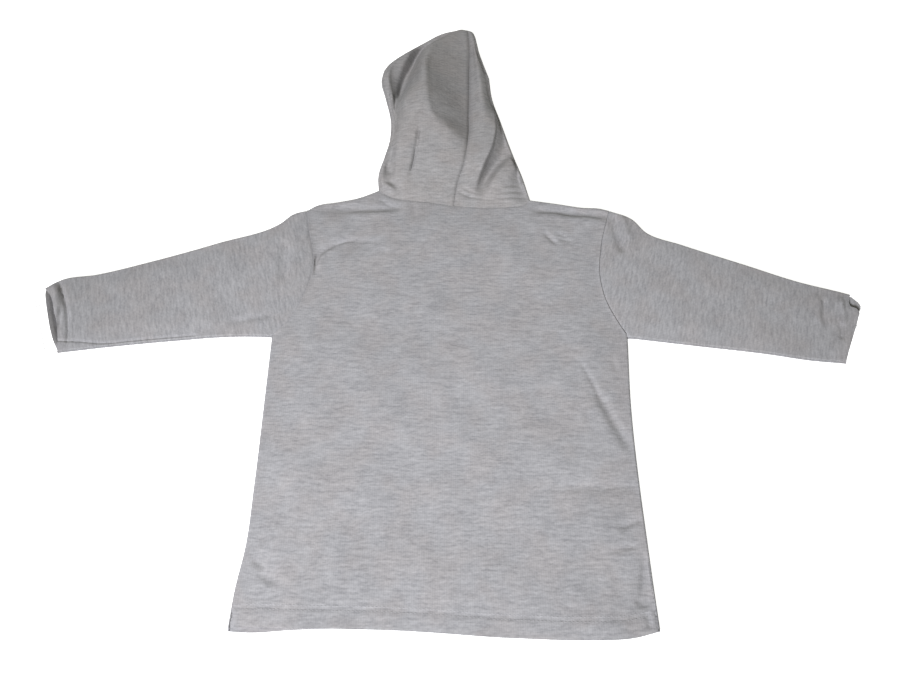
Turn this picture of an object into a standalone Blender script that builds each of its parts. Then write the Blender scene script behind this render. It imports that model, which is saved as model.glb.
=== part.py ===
"""A small child's hooded cardigan in grey marl jersey, laid flat on its front with the hood up.

Drafting frame, in metres: X to the right seen from above, 0 halfway between the cuffs. Y up the body,
0 on the underarm line. Z up from the surface it lies on. The last step moves the whole garment so that
the origin lies under the middle of it. Left and right are the wearer's and also the viewer's, because
the back is on top."""

import bmesh
import bpy
import numpy as np

# The cloth and how its layers lie
WALL = 0.0015
SEAM_GAP = 0.0003
LAYER_GAP = 0.0011
UNDER = WALL / 2
UPPER = UNDER + WALL + LAYER_GAP
ROLL = (UPPER - UNDER) / 2
FRONT_EDGE_GAP = 0.002
CORNER_GAP = 0.0006
SEAM_FLAT = 0.0020
FOLD_FLAT = 0.0025
BODY_PUFF = 0.0022
BODY_PUFF_WIDTH = 0.030
SLEEVE_PUFF = 0.0030
SLEEVE_PUFF_WIDTH = 0.026
HOOD_ROLL = 0.0030
HOOD_ROLL_GROWTH = 0.040
CROWN_ROLL_GROWTH = 0.025
HOOD_PUFF = 0.0120
HOOD_PUFF_WIDTH = 0.022
HOOD_NECK_RISE = 0.050

# A fold's round edge is drawn at these angles. Where a seam runs along the fold, each layer's edge
# is drawn as (reach outwards, fall), ends upright and stops short of the half-way height
FOLD_ANGLES = (45.0, 90.0, 135.0)
SEAM_EDGE = [(np.sin(a) * ROLL, (1 - np.cos(a)) * ROLL) for a in np.radians((38.0, 70.0))]
SEAM_EDGE.append((SEAM_EDGE[-1][0] + 0.00002, ROLL - SEAM_GAP * 0.7))

# Corners that several pieces share
UNDERARM_LEFT = (-0.1640, -0.0010)
UNDERARM_RIGHT = (0.1635, -0.0020)
SHOULDER_LEFT = (-0.1450, 0.1515)
SHOULDER_RIGHT = (0.1610, 0.1515)
NECK_LEFT = (-0.0735, 0.1785)
NECK_RIGHT = (0.0820, 0.1655)
NAPE = (0.0037, 0.1575)
HEM_LEFT = (-0.1685, -0.2640)
HEM_RIGHT = (0.1590, -0.2665)
FRONT_NECK = (0.0025, 0.1120)
FRONT_HEM = (-0.0048, -0.2670)
CROWN_CORNER_LEFT = (-0.0775, 0.3600)
CROWN_CORNER_RIGHT = (0.0445, 0.3480)
CROWN = (0.0215, 0.4335)
FACE_TOP = (0.0150, 0.3450)
CUFF_TOP_LEFT = (-0.3865, 0.0540)
CUFF_END_LEFT = (-0.3565, -0.0180)
CUFF_TOP_RIGHT = (0.3800, 0.0465)
CUFF_END_RIGHT = (0.3570, -0.0295)

# Lines between the corners, each as the few stations (x, y) that its shape needs
SIDE_LEFT = [HEM_LEFT, (-0.1670, -0.2350), (-0.1630, -0.2000), (-0.1625, -0.1500), (-0.1632, -0.0700), UNDERARM_LEFT]
SIDE_RIGHT = [HEM_RIGHT, (0.1583, -0.2350), (0.1577, -0.1900), (0.1573, -0.1500), (0.1585, -0.0750), UNDERARM_RIGHT]
ARMHOLE_LEFT = [UNDERARM_LEFT, (-0.1490, 0.0190), (-0.1370, 0.0520), (-0.1325, 0.0840), (-0.1395, 0.1200), SHOULDER_LEFT]
ARMHOLE_RIGHT = [UNDERARM_RIGHT, (0.1565, 0.0130), (0.1475, 0.0380), (0.1440, 0.0680), (0.1485, 0.1040), SHOULDER_RIGHT]
SHOULDER_LINE_LEFT = [SHOULDER_LEFT, (-0.1370, 0.1575), (-0.1150, 0.1628), (-0.0950, 0.1680), NECK_LEFT]
SHOULDER_LINE_RIGHT = [NECK_RIGHT, (0.1120, 0.1600), (0.1340, 0.1556), (0.1520, 0.1543), SHOULDER_RIGHT]
NECK_SEAM_LEFT = [NECK_LEFT, (-0.0620, 0.1698), (-0.0420, 0.1650), (-0.0200, 0.1620), NAPE]
NECK_SEAM_RIGHT = [NAPE, (0.0285, 0.1552), (0.0600, 0.1560), (0.0750, 0.1585), NECK_RIGHT]
BACK_HEM = [HEM_LEFT, (-0.1550, -0.2635), (-0.1180, -0.2645), (-0.0350, -0.2665), (0.0500, -0.2720), (0.1000, -0.2735), (0.1400, -0.2715), HEM_RIGHT]
FRONT_HEM_LEFT = [FRONT_HEM, (-0.0600, -0.2640), (-0.1180, -0.2648), (-0.1540, -0.2668), (-0.1670, -0.2660)]
FRONT_HEM_RIGHT = [FRONT_HEM, (0.0500, -0.2700), (0.1000, -0.2720), (0.1400, -0.2705), (0.1580, -0.2665)]
NECKLINE_LEFT = [FRONT_NECK, (-0.0350, 0.1200), (-0.0600, 0.1440), NECK_LEFT]
NECKLINE_RIGHT = [FRONT_NECK, (0.0400, 0.1190), (0.0670, 0.1400), NECK_RIGHT]
SLEEVE_TOP_LEFT = [SHOULDER_LEFT, (-0.1590, 0.1465), (-0.1700, 0.1350), (-0.2300, 0.1090), (-0.2930, 0.0855), (-0.3400, 0.0705), (-0.3740, 0.0635), CUFF_TOP_LEFT]
SLEEVE_TOP_RIGHT = [SHOULDER_RIGHT, (0.1830, 0.1405), (0.1960, 0.1225), (0.2290, 0.1070), (0.2860, 0.0825), (0.3360, 0.0610), (0.3670, 0.0510), CUFF_TOP_RIGHT]
SLEEVE_UNDER_LEFT = [UNDERARM_LEFT, (-0.1930, -0.0005), (-0.2620, -0.0060), (-0.3140, -0.0120), CUFF_END_LEFT]
SLEEVE_UNDER_RIGHT = [UNDERARM_RIGHT, (0.2240, -0.0105), (0.2920, -0.0200), (0.3250, -0.0260), CUFF_END_RIGHT]
CUFF_UPPER_LEFT = [CUFF_END_LEFT, (-0.3625, 0.0060), (-0.3690, 0.0240), (-0.3765, 0.0420), CUFF_TOP_LEFT]
CUFF_UNDER_LEFT = [CUFF_END_LEFT, (-0.3640, -0.0050), (-0.3770, 0.0260), (-0.3830, 0.0430), CUFF_TOP_LEFT]
CUFF_UPPER_RIGHT = [CUFF_END_RIGHT, (0.3610, -0.0200), (0.3700, 0.0000), (0.3780, 0.0230), CUFF_TOP_RIGHT]
CUFF_UNDER_RIGHT = [CUFF_END_RIGHT, (0.3615, -0.0200), (0.3810, 0.0220), (0.3860, 0.0350), CUFF_TOP_RIGHT]
HOOD_SEAM = [NAPE, (0.0082, 0.1880), (0.0135, 0.2080), (0.0195, 0.2480), (0.0205, 0.2900), (0.0220, 0.3600), (0.0228, 0.4000), CROWN]
HOOD_FOLD_LEFT = [NECK_LEFT, (-0.0750, 0.1950), (-0.0695, 0.2250), (-0.0650, 0.2500), (-0.0648, 0.2780), (-0.0720, 0.3150), CROWN_CORNER_LEFT]
HOOD_FOLD_RIGHT = [NECK_RIGHT, (0.0765, 0.1920), (0.0665, 0.2300), (0.0550, 0.2800), (0.0470, 0.3150), CROWN_CORNER_RIGHT]
HOOD_CROWN_LEFT = [CROWN, (0.0175, 0.4345), (0.0130, 0.4355), (0.0070, 0.4325), (-0.0120, 0.4240), (-0.0300, 0.4095), (-0.0500, 0.3920), (-0.0680, 0.3765), CROWN_CORNER_LEFT]
HOOD_CROWN_RIGHT = [CROWN, (0.0260, 0.4310), (0.0290, 0.4240), (0.0315, 0.4100), (0.0340, 0.3930), (0.0380, 0.3750), CROWN_CORNER_RIGHT]
FACE_EDGE_LEFT = [FRONT_NECK, (-0.0100, 0.1700), (-0.0130, 0.2400), (-0.0020, 0.3100), FACE_TOP]
FACE_EDGE_RIGHT = [FRONT_NECK, (0.0190, 0.1700), (0.0260, 0.2400), (0.0240, 0.3100), FACE_TOP]
CROWN_SEAM_BELOW = [FACE_TOP, (0.0185, 0.3900), (0.0213, 0.4200), CROWN]

# Which way the round edge points where a seam runs over it
NECK_OUT_LEFT = (-0.78, 0.62)
NECK_OUT_RIGHT = (0.66, 0.75)
SHOULDER_OUT_LEFT = (-0.20, 0.98)
SHOULDER_OUT_RIGHT = (0.25, 0.97)
UNDERARM_OUT_LEFT = (-0.80, -0.60)
UNDERARM_OUT_RIGHT = (0.80, -0.60)
CROWN_OUT = (0.0, 1.0)

# Folds. Each row is x1, y1, x2, y2 (its two ends), bow (how far its middle lies to the left of the line
# from end 1 to end 2), left and right (how far it spreads to each side) and height (below 0 for a trough)
BODY_FOLDS = [
    (-0.1260, 0.1500, -0.0560, 0.1540, 0.0010, 0.0060, 0.0050, -0.0020),
    (0.0870, 0.1540, 0.1580, 0.1410, -0.0010, 0.0060, 0.0050, -0.0020),
    (-0.1330, 0.0800, -0.0750, 0.1120, 0.0150, 0.0050, 0.0120, -0.0012),
    (-0.1320, 0.0560, -0.0970, 0.0960, 0.0020, 0.0070, 0.0070, 0.0012),
    (0.1200, -0.0260, 0.1540, -0.1220, 0.0020, 0.0060, 0.0090, -0.0020),
    (0.1080, -0.0420, 0.1380, -0.1220, 0.0020, 0.0080, 0.0080, 0.0014),
    (-0.1560, -0.2120, -0.1350, -0.2320, 0.0000, 0.0080, 0.0080, -0.0014),
    (0.1270, -0.1900, 0.1530, -0.1800, 0.0020, 0.0070, 0.0070, -0.0014),
    (0.1560, -0.2100, 0.1450, -0.2560, -0.0040, 0.0060, 0.0050, -0.0014),
    (-0.0900, -0.0700, 0.0700, -0.0300, 0.0100, 0.0400, 0.0400, 0.0010),
    (-0.1100, -0.1800, 0.0900, -0.2000, 0.0050, 0.0350, 0.0350, -0.0008),
]
SLEEVE_FOLDS = [
    (-0.1660, 0.1400, -0.1480, 0.0350, -0.0060, 0.0060, 0.0090, -0.0024),
    (-0.1500, 0.1400, -0.1440, 0.0700, -0.0040, 0.0060, 0.0060, 0.0016),
    (-0.2160, 0.0060, -0.1690, 0.0220, 0.0020, 0.0060, 0.0060, -0.0012),
    (0.1640, 0.1420, 0.1600, 0.0850, 0.0030, 0.0040, 0.0060, -0.0020),
    (0.1760, 0.1440, 0.1720, 0.0900, 0.0030, 0.0060, 0.0060, 0.0018),
    (0.1880, 0.1260, 0.1780, 0.0900, 0.0020, 0.0050, 0.0060, -0.0016),
]
HOOD_FOLDS = [
    (-0.0250, 0.3750, -0.0500, 0.2070, -0.0060, 0.0220, 0.0150, 0.0040),
    (-0.0020, 0.3850, 0.0020, 0.2800, 0.0000, 0.0220, 0.0170, -0.0115),
    (0.0310, 0.4050, 0.0320, 0.2300, 0.0040, 0.0090, 0.0110, 0.0060),
    (0.0320, 0.2350, 0.0170, 0.1820, 0.0030, 0.0080, 0.0090, 0.0040),
    (0.0490, 0.3000, 0.0340, 0.1920, 0.0160, 0.0100, 0.0070, -0.0110),
    (0.0290, 0.1740, 0.0660, 0.2160, -0.0010, 0.0060, 0.0100, 0.0040),
    (-0.0350, 0.4020, -0.0610, 0.2960, -0.0030, 0.0080, 0.0060, -0.0090),
    (-0.0680, 0.2040, -0.0520, 0.1830, 0.0040, 0.0060, 0.0060, -0.0035),
    (-0.0460, 0.1880, 0.0000, 0.1930, 0.0020, 0.0100, 0.0100, 0.0020),
]

# How finely each piece is drawn, in faces along each stretch
SHOULDER_FACES = 5
SIDE_FACES = 13
ARMHOLE_FACES = 12
FRONT_FACES = 9
SLEEVE_FACES = 17
HALF_NECK_FACES = 12
HOOD_FACES = 18
FACE_EDGE_FACES = 13
SPAN_STEPS = 12

# sRGB greys of the marl jersey, dark to light, by how each piece takes the light
JERSEY_ROUGHNESS = 0.92
COLOURS = {
    "back": (0.43, 0.42, 0.44),
    "front_left": (0.41, 0.41, 0.42),
    "front_right": (0.41, 0.41, 0.42),
    "sleeve_left": (0.39, 0.39, 0.40),
    "sleeve_right": (0.36, 0.36, 0.37),
    "hood_left": (0.34, 0.33, 0.33),
    "hood_right": (0.35, 0.35, 0.35),
}


def unit(vectors):
    return vectors / np.linalg.norm(vectors, axis=-1, keepdims=True)


def running_length(points):
    steps = np.linalg.norm(np.diff(points, axis=0), axis=1)
    return np.concatenate([[0.0], np.cumsum(steps)])


def line_through(stations, faces, start=0.0, end=0.0, first=0.0, last=0.0):
    """Points on a smooth line through the stations, which is shortened by start and end. They are
    evenly spaced but for the first and last step, where these are given."""
    knots = np.array(stations, float)
    at = running_length(knots)
    slopes = np.gradient(knots, at, axis=0)
    dense = []
    for i in range(len(knots) - 1):
        t = np.linspace(0.0, 1.0, SPAN_STEPS, endpoint=False)[:, None]
        span = at[i + 1] - at[i]
        dense.append(
            (2 * t**3 - 3 * t**2 + 1) * knots[i]
            + (t**3 - 2 * t**2 + t) * span * slopes[i]
            + (3 * t**2 - 2 * t**3) * knots[i + 1]
            + (t**3 - t**2) * span * slopes[i + 1]
        )
    dense = np.vstack([*dense, knots[-1:]])
    length = running_length(dense)
    end = length[-1] - end
    even = np.linspace(start + first, end - last, faces + 1 - (first > 0) - (last > 0))
    places = np.concatenate([[start] * (first > 0), even, [end] * (last > 0)])
    return np.column_stack([np.interp(places, length, dense[:, k]) for k in range(2)])


def chain(*lines):
    """Lines joined end to end; each later line's first point takes the place of the one before it."""
    return np.vstack([*(line[:-1] for line in lines[:-1]), lines[-1]])


def left_of(line):
    """Unit vectors that point to the left of a line's direction."""
    along = np.gradient(line, axis=0)
    return unit(np.column_stack([-along[:, 1], along[:, 0]]))


def beside(line, distance):
    """The line moved to its left by a distance, or to its right if the distance is below 0."""
    return line + left_of(line) * distance


def seam_edge(line, side, ends=(True, True)):
    """A piece's edge along a seam line: half the seam's gap to the line's left, or right for side -1,
    and further at an end where the seam runs over a fold."""
    distance = np.full(len(line), SEAM_GAP / 2)
    if ends[0]:
        distance[:2] = CORNER_GAP, CORNER_GAP / 2
    if ends[1]:
        distance[-2:] = CORNER_GAP / 2, CORNER_GAP
    return line + left_of(line) * distance[:, None] * side


def filled(bottom, right, top, left):
    """Rows of points that fill a four-sided outline. Left and right run from bottom to top."""
    across = (running_length(bottom) / running_length(bottom)[-1] + running_length(top) / running_length(top)[-1]) / 2
    up = (running_length(left) / running_length(left)[-1] + running_length(right) / running_length(right)[-1]) / 2
    u = across[None, :, None]
    v = up[:, None, None]
    corners = (1 - v) * ((1 - u) * bottom[0] + u * bottom[-1]) + v * ((1 - u) * top[0] + u * top[-1])
    return (1 - v) * bottom + v * top + (1 - u) * left[:, None] + u * right[:, None] - corners


def smooth_step(share):
    share = np.clip(share, 0.0, 1.0)
    return share * share * (3 - 2 * share)


def quarter_round(share):
    """Rises steeply from 0 and levels out at 1, as a puffed edge does."""
    share = np.clip(share, 0.0, 1.0)
    return np.sqrt(1 - (1 - share) ** 2)


def distance_to(plan, line):
    """Distance in plan from each point to the nearest point of a line."""
    gaps = plan[..., None, :] - line
    return np.sqrt((gaps**2).sum(-1)).min(-1)


def relief(plan, folds):
    """Height of all the folds of a table at each point."""
    x, y = plan[..., 0], plan[..., 1]
    height = np.zeros(x.shape)
    for x1, y1, x2, y2, bow, left, right, peak in folds:
        length = np.hypot(x2 - x1, y2 - y1)
        along_x, along_y = (x2 - x1) / length, (y2 - y1) / length
        share = ((x - x1) * along_x + (y - y1) * along_y) / length
        aside = (y - y1) * along_x - (x - x1) * along_y
        aside = aside - bow * 4 * np.clip(share, 0, 1) * (1 - np.clip(share, 0, 1))
        spread = np.where(aside > 0, left, right)
        past_end = np.maximum(np.maximum(-share, share - 1), 0) * length
        taper = smooth_step(0.5 + 2.5 * np.minimum(share, 1 - share))
        height += peak * taper * np.exp(-((aside / spread) ** 2) - (past_end / (left + right)) ** 2)
    return height


def bordered(bottom, right, top, left, borders):
    """Fills an outline and gives its bordered sides a strip that turns down round a fold or runs flat
    to a seam. borders maps a side to (outward directions, falls): a fall is 1 at a fold and 0 at a seam.
    Returns the plan, how far each point drops, and the inner outline."""
    sides = {"bottom": bottom, "right": right, "top": top, "left": left}
    inner = {}
    for name, line in sides.items():
        inner[name] = line - borders[name][0] * ROLL if name in borders else line.copy()
    for first, i, second, j in (("left", -1, "top", 0), ("right", -1, "top", -1)):
        corner = (inner[first][i] + inner[second][j]) / 2
        inner[first][i] = corner
        inner[second][j] = corner
    inner["bottom"][0] = inner["left"][0]
    inner["bottom"][-1] = inner["right"][0]
    plan = filled(inner["bottom"], inner["right"], inner["top"], inner["left"])
    drop = np.zeros(plan.shape[:2])
    for name in ("left", "right"):
        if name in borders:
            out, falls = borders[name]
            edge = plan[:, 0] if name == "left" else plan[:, -1]
            strips = [edge + out * reach for reach, fall in SEAM_EDGE]
            drops = [falls * fall for reach, fall in SEAM_EDGE]
            if name == "left":
                plan = np.concatenate([np.stack(strips[::-1], 1), plan], 1)
                drop = np.concatenate([np.stack(drops[::-1], 1), drop], 1)
            else:
                plan = np.concatenate([plan, np.stack(strips, 1)], 1)
                drop = np.concatenate([drop, np.stack(drops, 1)], 1)
    if "top" in borders:
        out, falls = borders["top"]
        before = len(SEAM_EDGE) if "left" in borders else 0
        after = len(SEAM_EDGE) if "right" in borders else 0
        out = np.pad(out, ((before, after), (0, 0)), mode="edge")
        falls = np.pad(falls, (before, after), mode="edge")
        edge, edge_drop = plan[-1], drop[-1]
        strips = [edge + out * reach for reach, fall in SEAM_EDGE]
        drops = [edge_drop + falls * fall for reach, fall in SEAM_EDGE]
        plan = np.concatenate([plan, np.stack(strips)], 0)
        drop = np.concatenate([drop, np.stack(drops)], 0)
    return plan, drop


def directed(line, start=None, end=None, side=1):
    """Outward directions along a line, with those at its ends given where a seam runs over the edge."""
    out = left_of(line) * side
    if start is not None:
        out[0] = unit(np.array(start, float))
    if end is not None:
        out[-1] = unit(np.array(end, float))
    return out


def with_height(plan, height):
    return np.concatenate([plan, height[..., None]], -1)


def armhole(side):
    """The armhole seam's line from the underarm to the shoulder, which body and sleeve share."""
    stations = ARMHOLE_LEFT if side == "left" else ARMHOLE_RIGHT
    return line_through(stations, ARMHOLE_FACES, WALL / 2 + ROLL, WALL / 2 + ROLL, FOLD_FLAT, FOLD_FLAT)


def half_neck(stations):
    """Half of the neck seam or neckline, from the middle to the fold, which body and hood share."""
    return line_through(stations, HALF_NECK_FACES, 0.0, WALL / 2 + ROLL, SEAM_FLAT, FOLD_FLAT)


def back_surface():
    """The back, on top: it turns down to the side and shoulder seams and is cut flat at the hem, neck
    and armholes."""
    half = WALL / 2
    side_left = line_through(SIDE_LEFT, SIDE_FACES)
    side_right = line_through(SIDE_RIGHT, SIDE_FACES)
    hole_left, hole_right = armhole("left"), armhole("right")
    left = chain(beside(side_left, -half), seam_edge(hole_left, -1))
    right = chain(beside(side_right, half), seam_edge(hole_right, 1))
    shoulder_left = beside(line_through(SHOULDER_LINE_LEFT, SHOULDER_FACES, ROLL, half), -half)
    shoulder_right = beside(line_through(SHOULDER_LINE_RIGHT, SHOULDER_FACES, half, ROLL), -half)
    neck = seam_edge(chain(half_neck(NECK_SEAM_LEFT[::-1])[::-1], half_neck(NECK_SEAM_RIGHT)), -1)
    neck[0] += unit(np.array(NECK_OUT_LEFT)) * ROLL
    neck[-1] += unit(np.array(NECK_OUT_RIGHT)) * ROLL
    top = np.vstack([shoulder_left[:-1], neck, shoulder_right[1:]])
    out_top = np.vstack([
        directed(shoulder_left, SHOULDER_OUT_LEFT)[:-1],
        directed(neck, NECK_OUT_LEFT, NECK_OUT_RIGHT),
        directed(shoulder_right, None, SHOULDER_OUT_RIGHT)[1:],
    ])
    falls_top = np.ones(len(top))
    falls_top[len(shoulder_left):-len(shoulder_right)] = 0.0
    falls_side = np.concatenate([np.ones(SIDE_FACES), [0.6], np.zeros(ARMHOLE_FACES)])
    bottom = line_through(BACK_HEM, len(top) - 1)
    plan, drop = bordered(bottom, right, top, left, {
        "left": (directed(left), falls_side),
        "right": (directed(right, side=-1), falls_side),
        "top": (out_top, falls_top),
    })
    folds_edge = chain(side_left, hole_left, shoulder_left, neck, shoulder_right, hole_right[::-1], side_right[::-1])
    rise = smooth_step(distance_to(plan, folds_edge) / BODY_PUFF_WIDTH)
    height = UPPER - drop + rise * BODY_PUFF + relief(plan, BODY_FOLDS) * smooth_step(distance_to(plan, folds_edge) / 0.008)
    return with_height(plan, np.where(drop > 0, UPPER - drop, np.maximum(height, UPPER)))


def front_surface(side):
    """One front, flat on the floor: it turns up to its side and shoulder seams."""
    half = WALL / 2
    is_left = side == "left"
    turn = 1 if is_left else -1
    seam = line_through(SIDE_LEFT if is_left else SIDE_RIGHT, SIDE_FACES)
    outer = chain(beside(seam, -half * turn), seam_edge(armhole(side), -turn))
    shoulder_stations = SHOULDER_LINE_LEFT[::-1] if is_left else SHOULDER_LINE_RIGHT
    shoulder = beside(line_through(shoulder_stations, FRONT_FACES, half, ROLL), half * turn)
    neckline = seam_edge(half_neck(NECKLINE_LEFT if is_left else NECKLINE_RIGHT), turn, (False, True))
    centre = line_through([FRONT_HEM, FRONT_NECK], SIDE_FACES + ARMHOLE_FACES - HALF_NECK_FACES)
    centre[:, 0] -= turn * FRONT_EDGE_GAP / 2
    neckline[0] = [centre[-1][0], neckline[0][1]]
    inner = chain(centre, neckline)
    hem = line_through(FRONT_HEM_LEFT if is_left else FRONT_HEM_RIGHT, FRONT_FACES)
    hem[0] = centre[0]
    outer[0][1] = hem[-1][1]
    neck_out = NECK_OUT_LEFT if is_left else NECK_OUT_RIGHT
    tip_out = SHOULDER_OUT_LEFT if is_left else SHOULDER_OUT_RIGHT
    falls_side = np.concatenate([np.ones(SIDE_FACES), [0.6], np.zeros(ARMHOLE_FACES)])
    plan, drop = bordered(hem, outer, shoulder, inner, {
        "right": (directed(outer, side=turn), falls_side),
        "top": (directed(shoulder, neck_out, tip_out, side=-turn), np.ones(len(shoulder))),
    })
    return with_height(plan, UNDER + drop)


def sleeve_surface(side):
    """One sleeve, a flattened tube: rings of points from the armhole to the cuff."""
    half = WALL / 2
    is_left = side == "left"
    turn = 1 if is_left else -1
    top_stations, bottom_stations = (
        (SLEEVE_TOP_LEFT, SLEEVE_UNDER_LEFT) if is_left else (SLEEVE_TOP_RIGHT, SLEEVE_UNDER_RIGHT)
    )
    top = line_through(top_stations, SLEEVE_FACES, CORNER_GAP, first=SEAM_FLAT)
    bottom = line_through(bottom_stations, SLEEVE_FACES, CORNER_GAP, first=SEAM_FLAT)
    top_out = directed(top, SHOULDER_OUT_LEFT if is_left else SHOULDER_OUT_RIGHT, side=-turn)
    bottom_out = directed(bottom, UNDERARM_OUT_LEFT if is_left else UNDERARM_OUT_RIGHT, side=turn)
    top_edge = top - top_out * (half + ROLL)
    bottom_edge = bottom - bottom_out * (half + ROLL)
    hole = seam_edge(armhole(side), turn)
    layers = {}
    for layer, cuff_stations in (
        ("upper", CUFF_UPPER_LEFT if is_left else CUFF_UPPER_RIGHT),
        ("under", CUFF_UNDER_LEFT if is_left else CUFF_UNDER_RIGHT),
    ):
        cuff = line_through(cuff_stations, ARMHOLE_FACES, half + ROLL, half + ROLL, FOLD_FLAT, FOLD_FLAT)
        top_edge[0], top_edge[-1] = hole[-1], cuff[-1]
        bottom_edge[0], bottom_edge[-1] = hole[0], cuff[0]
        layers[layer] = filled(bottom_edge, cuff, top_edge, hole)
    upper = layers["upper"]
    edge = np.vstack([top, bottom])
    from_fold = distance_to(upper, edge)
    from_hole = distance_to(upper, line_through(ARMHOLE_LEFT if is_left else ARMHOLE_RIGHT, 60))
    rise = smooth_step(from_fold / SLEEVE_PUFF_WIDTH) * smooth_step(from_hole / SLEEVE_PUFF_WIDTH)
    height = UPPER + rise * SLEEVE_PUFF + relief(upper, SLEEVE_FOLDS) * smooth_step(from_fold / 0.012) * smooth_step(from_hole / 0.006)
    upper = with_height(upper, np.maximum(height, UPPER))
    under = with_height(layers["under"], np.full(layers["under"].shape[:2], UNDER))
    middle = UNDER + ROLL
    rings = [upper]
    angles = np.radians(FOLD_ANGLES)
    rings.append(np.stack([with_height(upper[-1, :, :2] + top_out * ROLL * np.sin(a), np.full(len(top), middle + ROLL * np.cos(a))) for a in angles]))
    rings.append(under[::-1])
    rings.append(np.stack([with_height(under[0, :, :2] + bottom_out * ROLL * np.sin(a), np.full(len(top), middle - ROLL * np.cos(a))) for a in angles]))
    return np.concatenate(rings, 0)


def hood_outline(side):
    """The hood's folded edge on one side: up from the neck, round the top corner and to the crown."""
    fold_stations, crown_stations, turn = (
        (HOOD_FOLD_LEFT, HOOD_CROWN_LEFT, 1) if side == "left" else (HOOD_FOLD_RIGHT, HOOD_CROWN_RIGHT, -1)
    )
    fold = line_through(fold_stations, HOOD_FACES, CORNER_GAP, first=SEAM_FLAT)
    crown = line_through(crown_stations, HALF_NECK_FACES, first=SEAM_FLAT)
    crown[1] = crown[0] - [turn * SEAM_FLAT, 0.0]
    return fold, crown


def hood_roll(plan):
    """Half the hood's height at its folded edge: flat at the neck and the crown, soft between them."""
    from_neck = distance_to(plan, line_through(NECK_SEAM_LEFT + NECK_SEAM_RIGHT[1:], 60))
    from_crown = distance_to(plan, np.array([CROWN]))
    growth = smooth_step(from_neck / HOOD_ROLL_GROWTH) * smooth_step((from_crown - 2 * SEAM_FLAT) / CROWN_ROLL_GROWTH)
    return ROLL + (HOOD_ROLL - ROLL) * growth


def hood_height(plan):
    """Height of the hood's upper layer, the same for both panels."""
    from_edge = distance_to(plan, np.vstack([*hood_outline("left"), *hood_outline("right")]))
    from_neck = distance_to(plan, line_through(NECK_SEAM_LEFT + NECK_SEAM_RIGHT[1:], 60))
    inside = from_edge - HOOD_ROLL
    puff = HOOD_PUFF * quarter_round(inside / HOOD_PUFF_WIDTH) * smooth_step(from_neck / HOOD_NECK_RISE)
    folds = relief(plan, HOOD_FOLDS) * smooth_step(inside / 0.008) * smooth_step(from_neck / 0.012)
    return np.maximum(UNDER + 2 * hood_roll(plan) + puff + folds, UPPER)


def hood_surfaces(side):
    """One hood panel: its upper layer, its under layer and the round edge that joins them."""
    half = WALL / 2
    is_left = side == "left"
    turn = 1 if is_left else -1
    fold, crown = hood_outline(side)
    outline = chain(fold, crown[::-1])
    roll = hood_roll(outline)
    out = directed(outline, NECK_OUT_LEFT if is_left else NECK_OUT_RIGHT, CROWN_OUT, side=turn)
    out[-2] = out[-1]
    edge = outline - out * (half + roll)[:, None]
    edge[-1][0] -= turn * SEAM_GAP / 2
    side_edge, crown_edge = edge[: len(fold)], edge[len(fold) - 1 :][::-1]
    neck = seam_edge(half_neck(NECK_SEAM_LEFT[::-1] if is_left else NECK_SEAM_RIGHT), -turn, (False, True))
    seam_line = line_through(HOOD_SEAM, HOOD_FACES, 0.0, half + ROLL, SEAM_FLAT)
    seam = seam_edge(seam_line, turn, (False, False))
    neckline = seam_edge(half_neck(NECKLINE_LEFT if is_left else NECKLINE_RIGHT), -turn, (False, True))
    face = line_through(FACE_EDGE_LEFT if is_left else FACE_EDGE_RIGHT, FACE_EDGE_FACES, first=SEAM_FLAT)
    face[:, 0] -= turn * FRONT_EDGE_GAP / 2
    below = line_through(CROWN_SEAM_BELOW, HOOD_FACES - FACE_EDGE_FACES, 0.0, half + ROLL)
    inner = chain(face, seam_edge(below, turn, (False, False)))
    seam[-1] = inner[-1] = crown_edge[0]
    seam[0][1] = neck[0][1]
    inner[0][1] = neckline[0][1]
    neck[0], neckline[0] = seam[0], inner[0]
    neck[-1] = neckline[-1] = side_edge[0]
    upper_plan = filled(neck, side_edge, crown_edge, seam)
    under_plan = filled(neckline, side_edge, crown_edge, inner)
    height = hood_height(upper_plan)
    height[:, :2] = hood_height(seam_line)[:, None]
    height[:2] = UPPER
    height[:, -1] = UNDER + 2 * roll[: len(fold)]
    height[-1] = UNDER + 2 * roll[len(fold) - 1 :][::-1]
    upper = with_height(upper_plan, height)
    under = with_height(under_plan, np.full(under_plan.shape[:2], UNDER))
    strips = [np.vstack([upper[:-1, -1], upper[-1, ::-1]])]
    for a in np.radians(FOLD_ANGLES):
        strips.append(with_height(edge + out * (roll * np.sin(a))[:, None], UNDER + roll + roll * np.cos(a)))
    strips.append(np.vstack([under[:-1, -1], under[-1, ::-1]]))
    return [upper, under, np.stack(strips)]


def surface_mesh(name, grids, closed=False):
    """One mesh from grids of points, welded where the grids meet."""
    sheet = bmesh.new()
    for grid in grids:
        rows = [[sheet.verts.new(point) for point in row] for row in grid]
        if closed:
            rows.append(rows[0])
        for low, high in zip(rows, rows[1:]):
            for i in range(len(low) - 1):
                sheet.faces.new((low[i], low[i + 1], high[i + 1], high[i]))
    bmesh.ops.remove_doubles(sheet, verts=sheet.verts, dist=1e-6)
    bmesh.ops.recalc_face_normals(sheet, faces=sheet.faces)
    mesh = bpy.data.meshes.new(name)
    sheet.to_mesh(mesh)
    sheet.free()
    mesh.shade_smooth()
    return mesh


def jersey(name):
    """The piece's own material: matt marl jersey."""
    material = bpy.data.materials.new(name + "_jersey")
    material.use_nodes = True
    shader = material.node_tree.nodes["Principled BSDF"]
    shader.inputs["Base Color"].default_value = (*COLOURS[name], 1.0)
    shader.inputs["Roughness"].default_value = JERSEY_ROUGHNESS
    shader.inputs["Metallic"].default_value = 0.0
    return material


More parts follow.
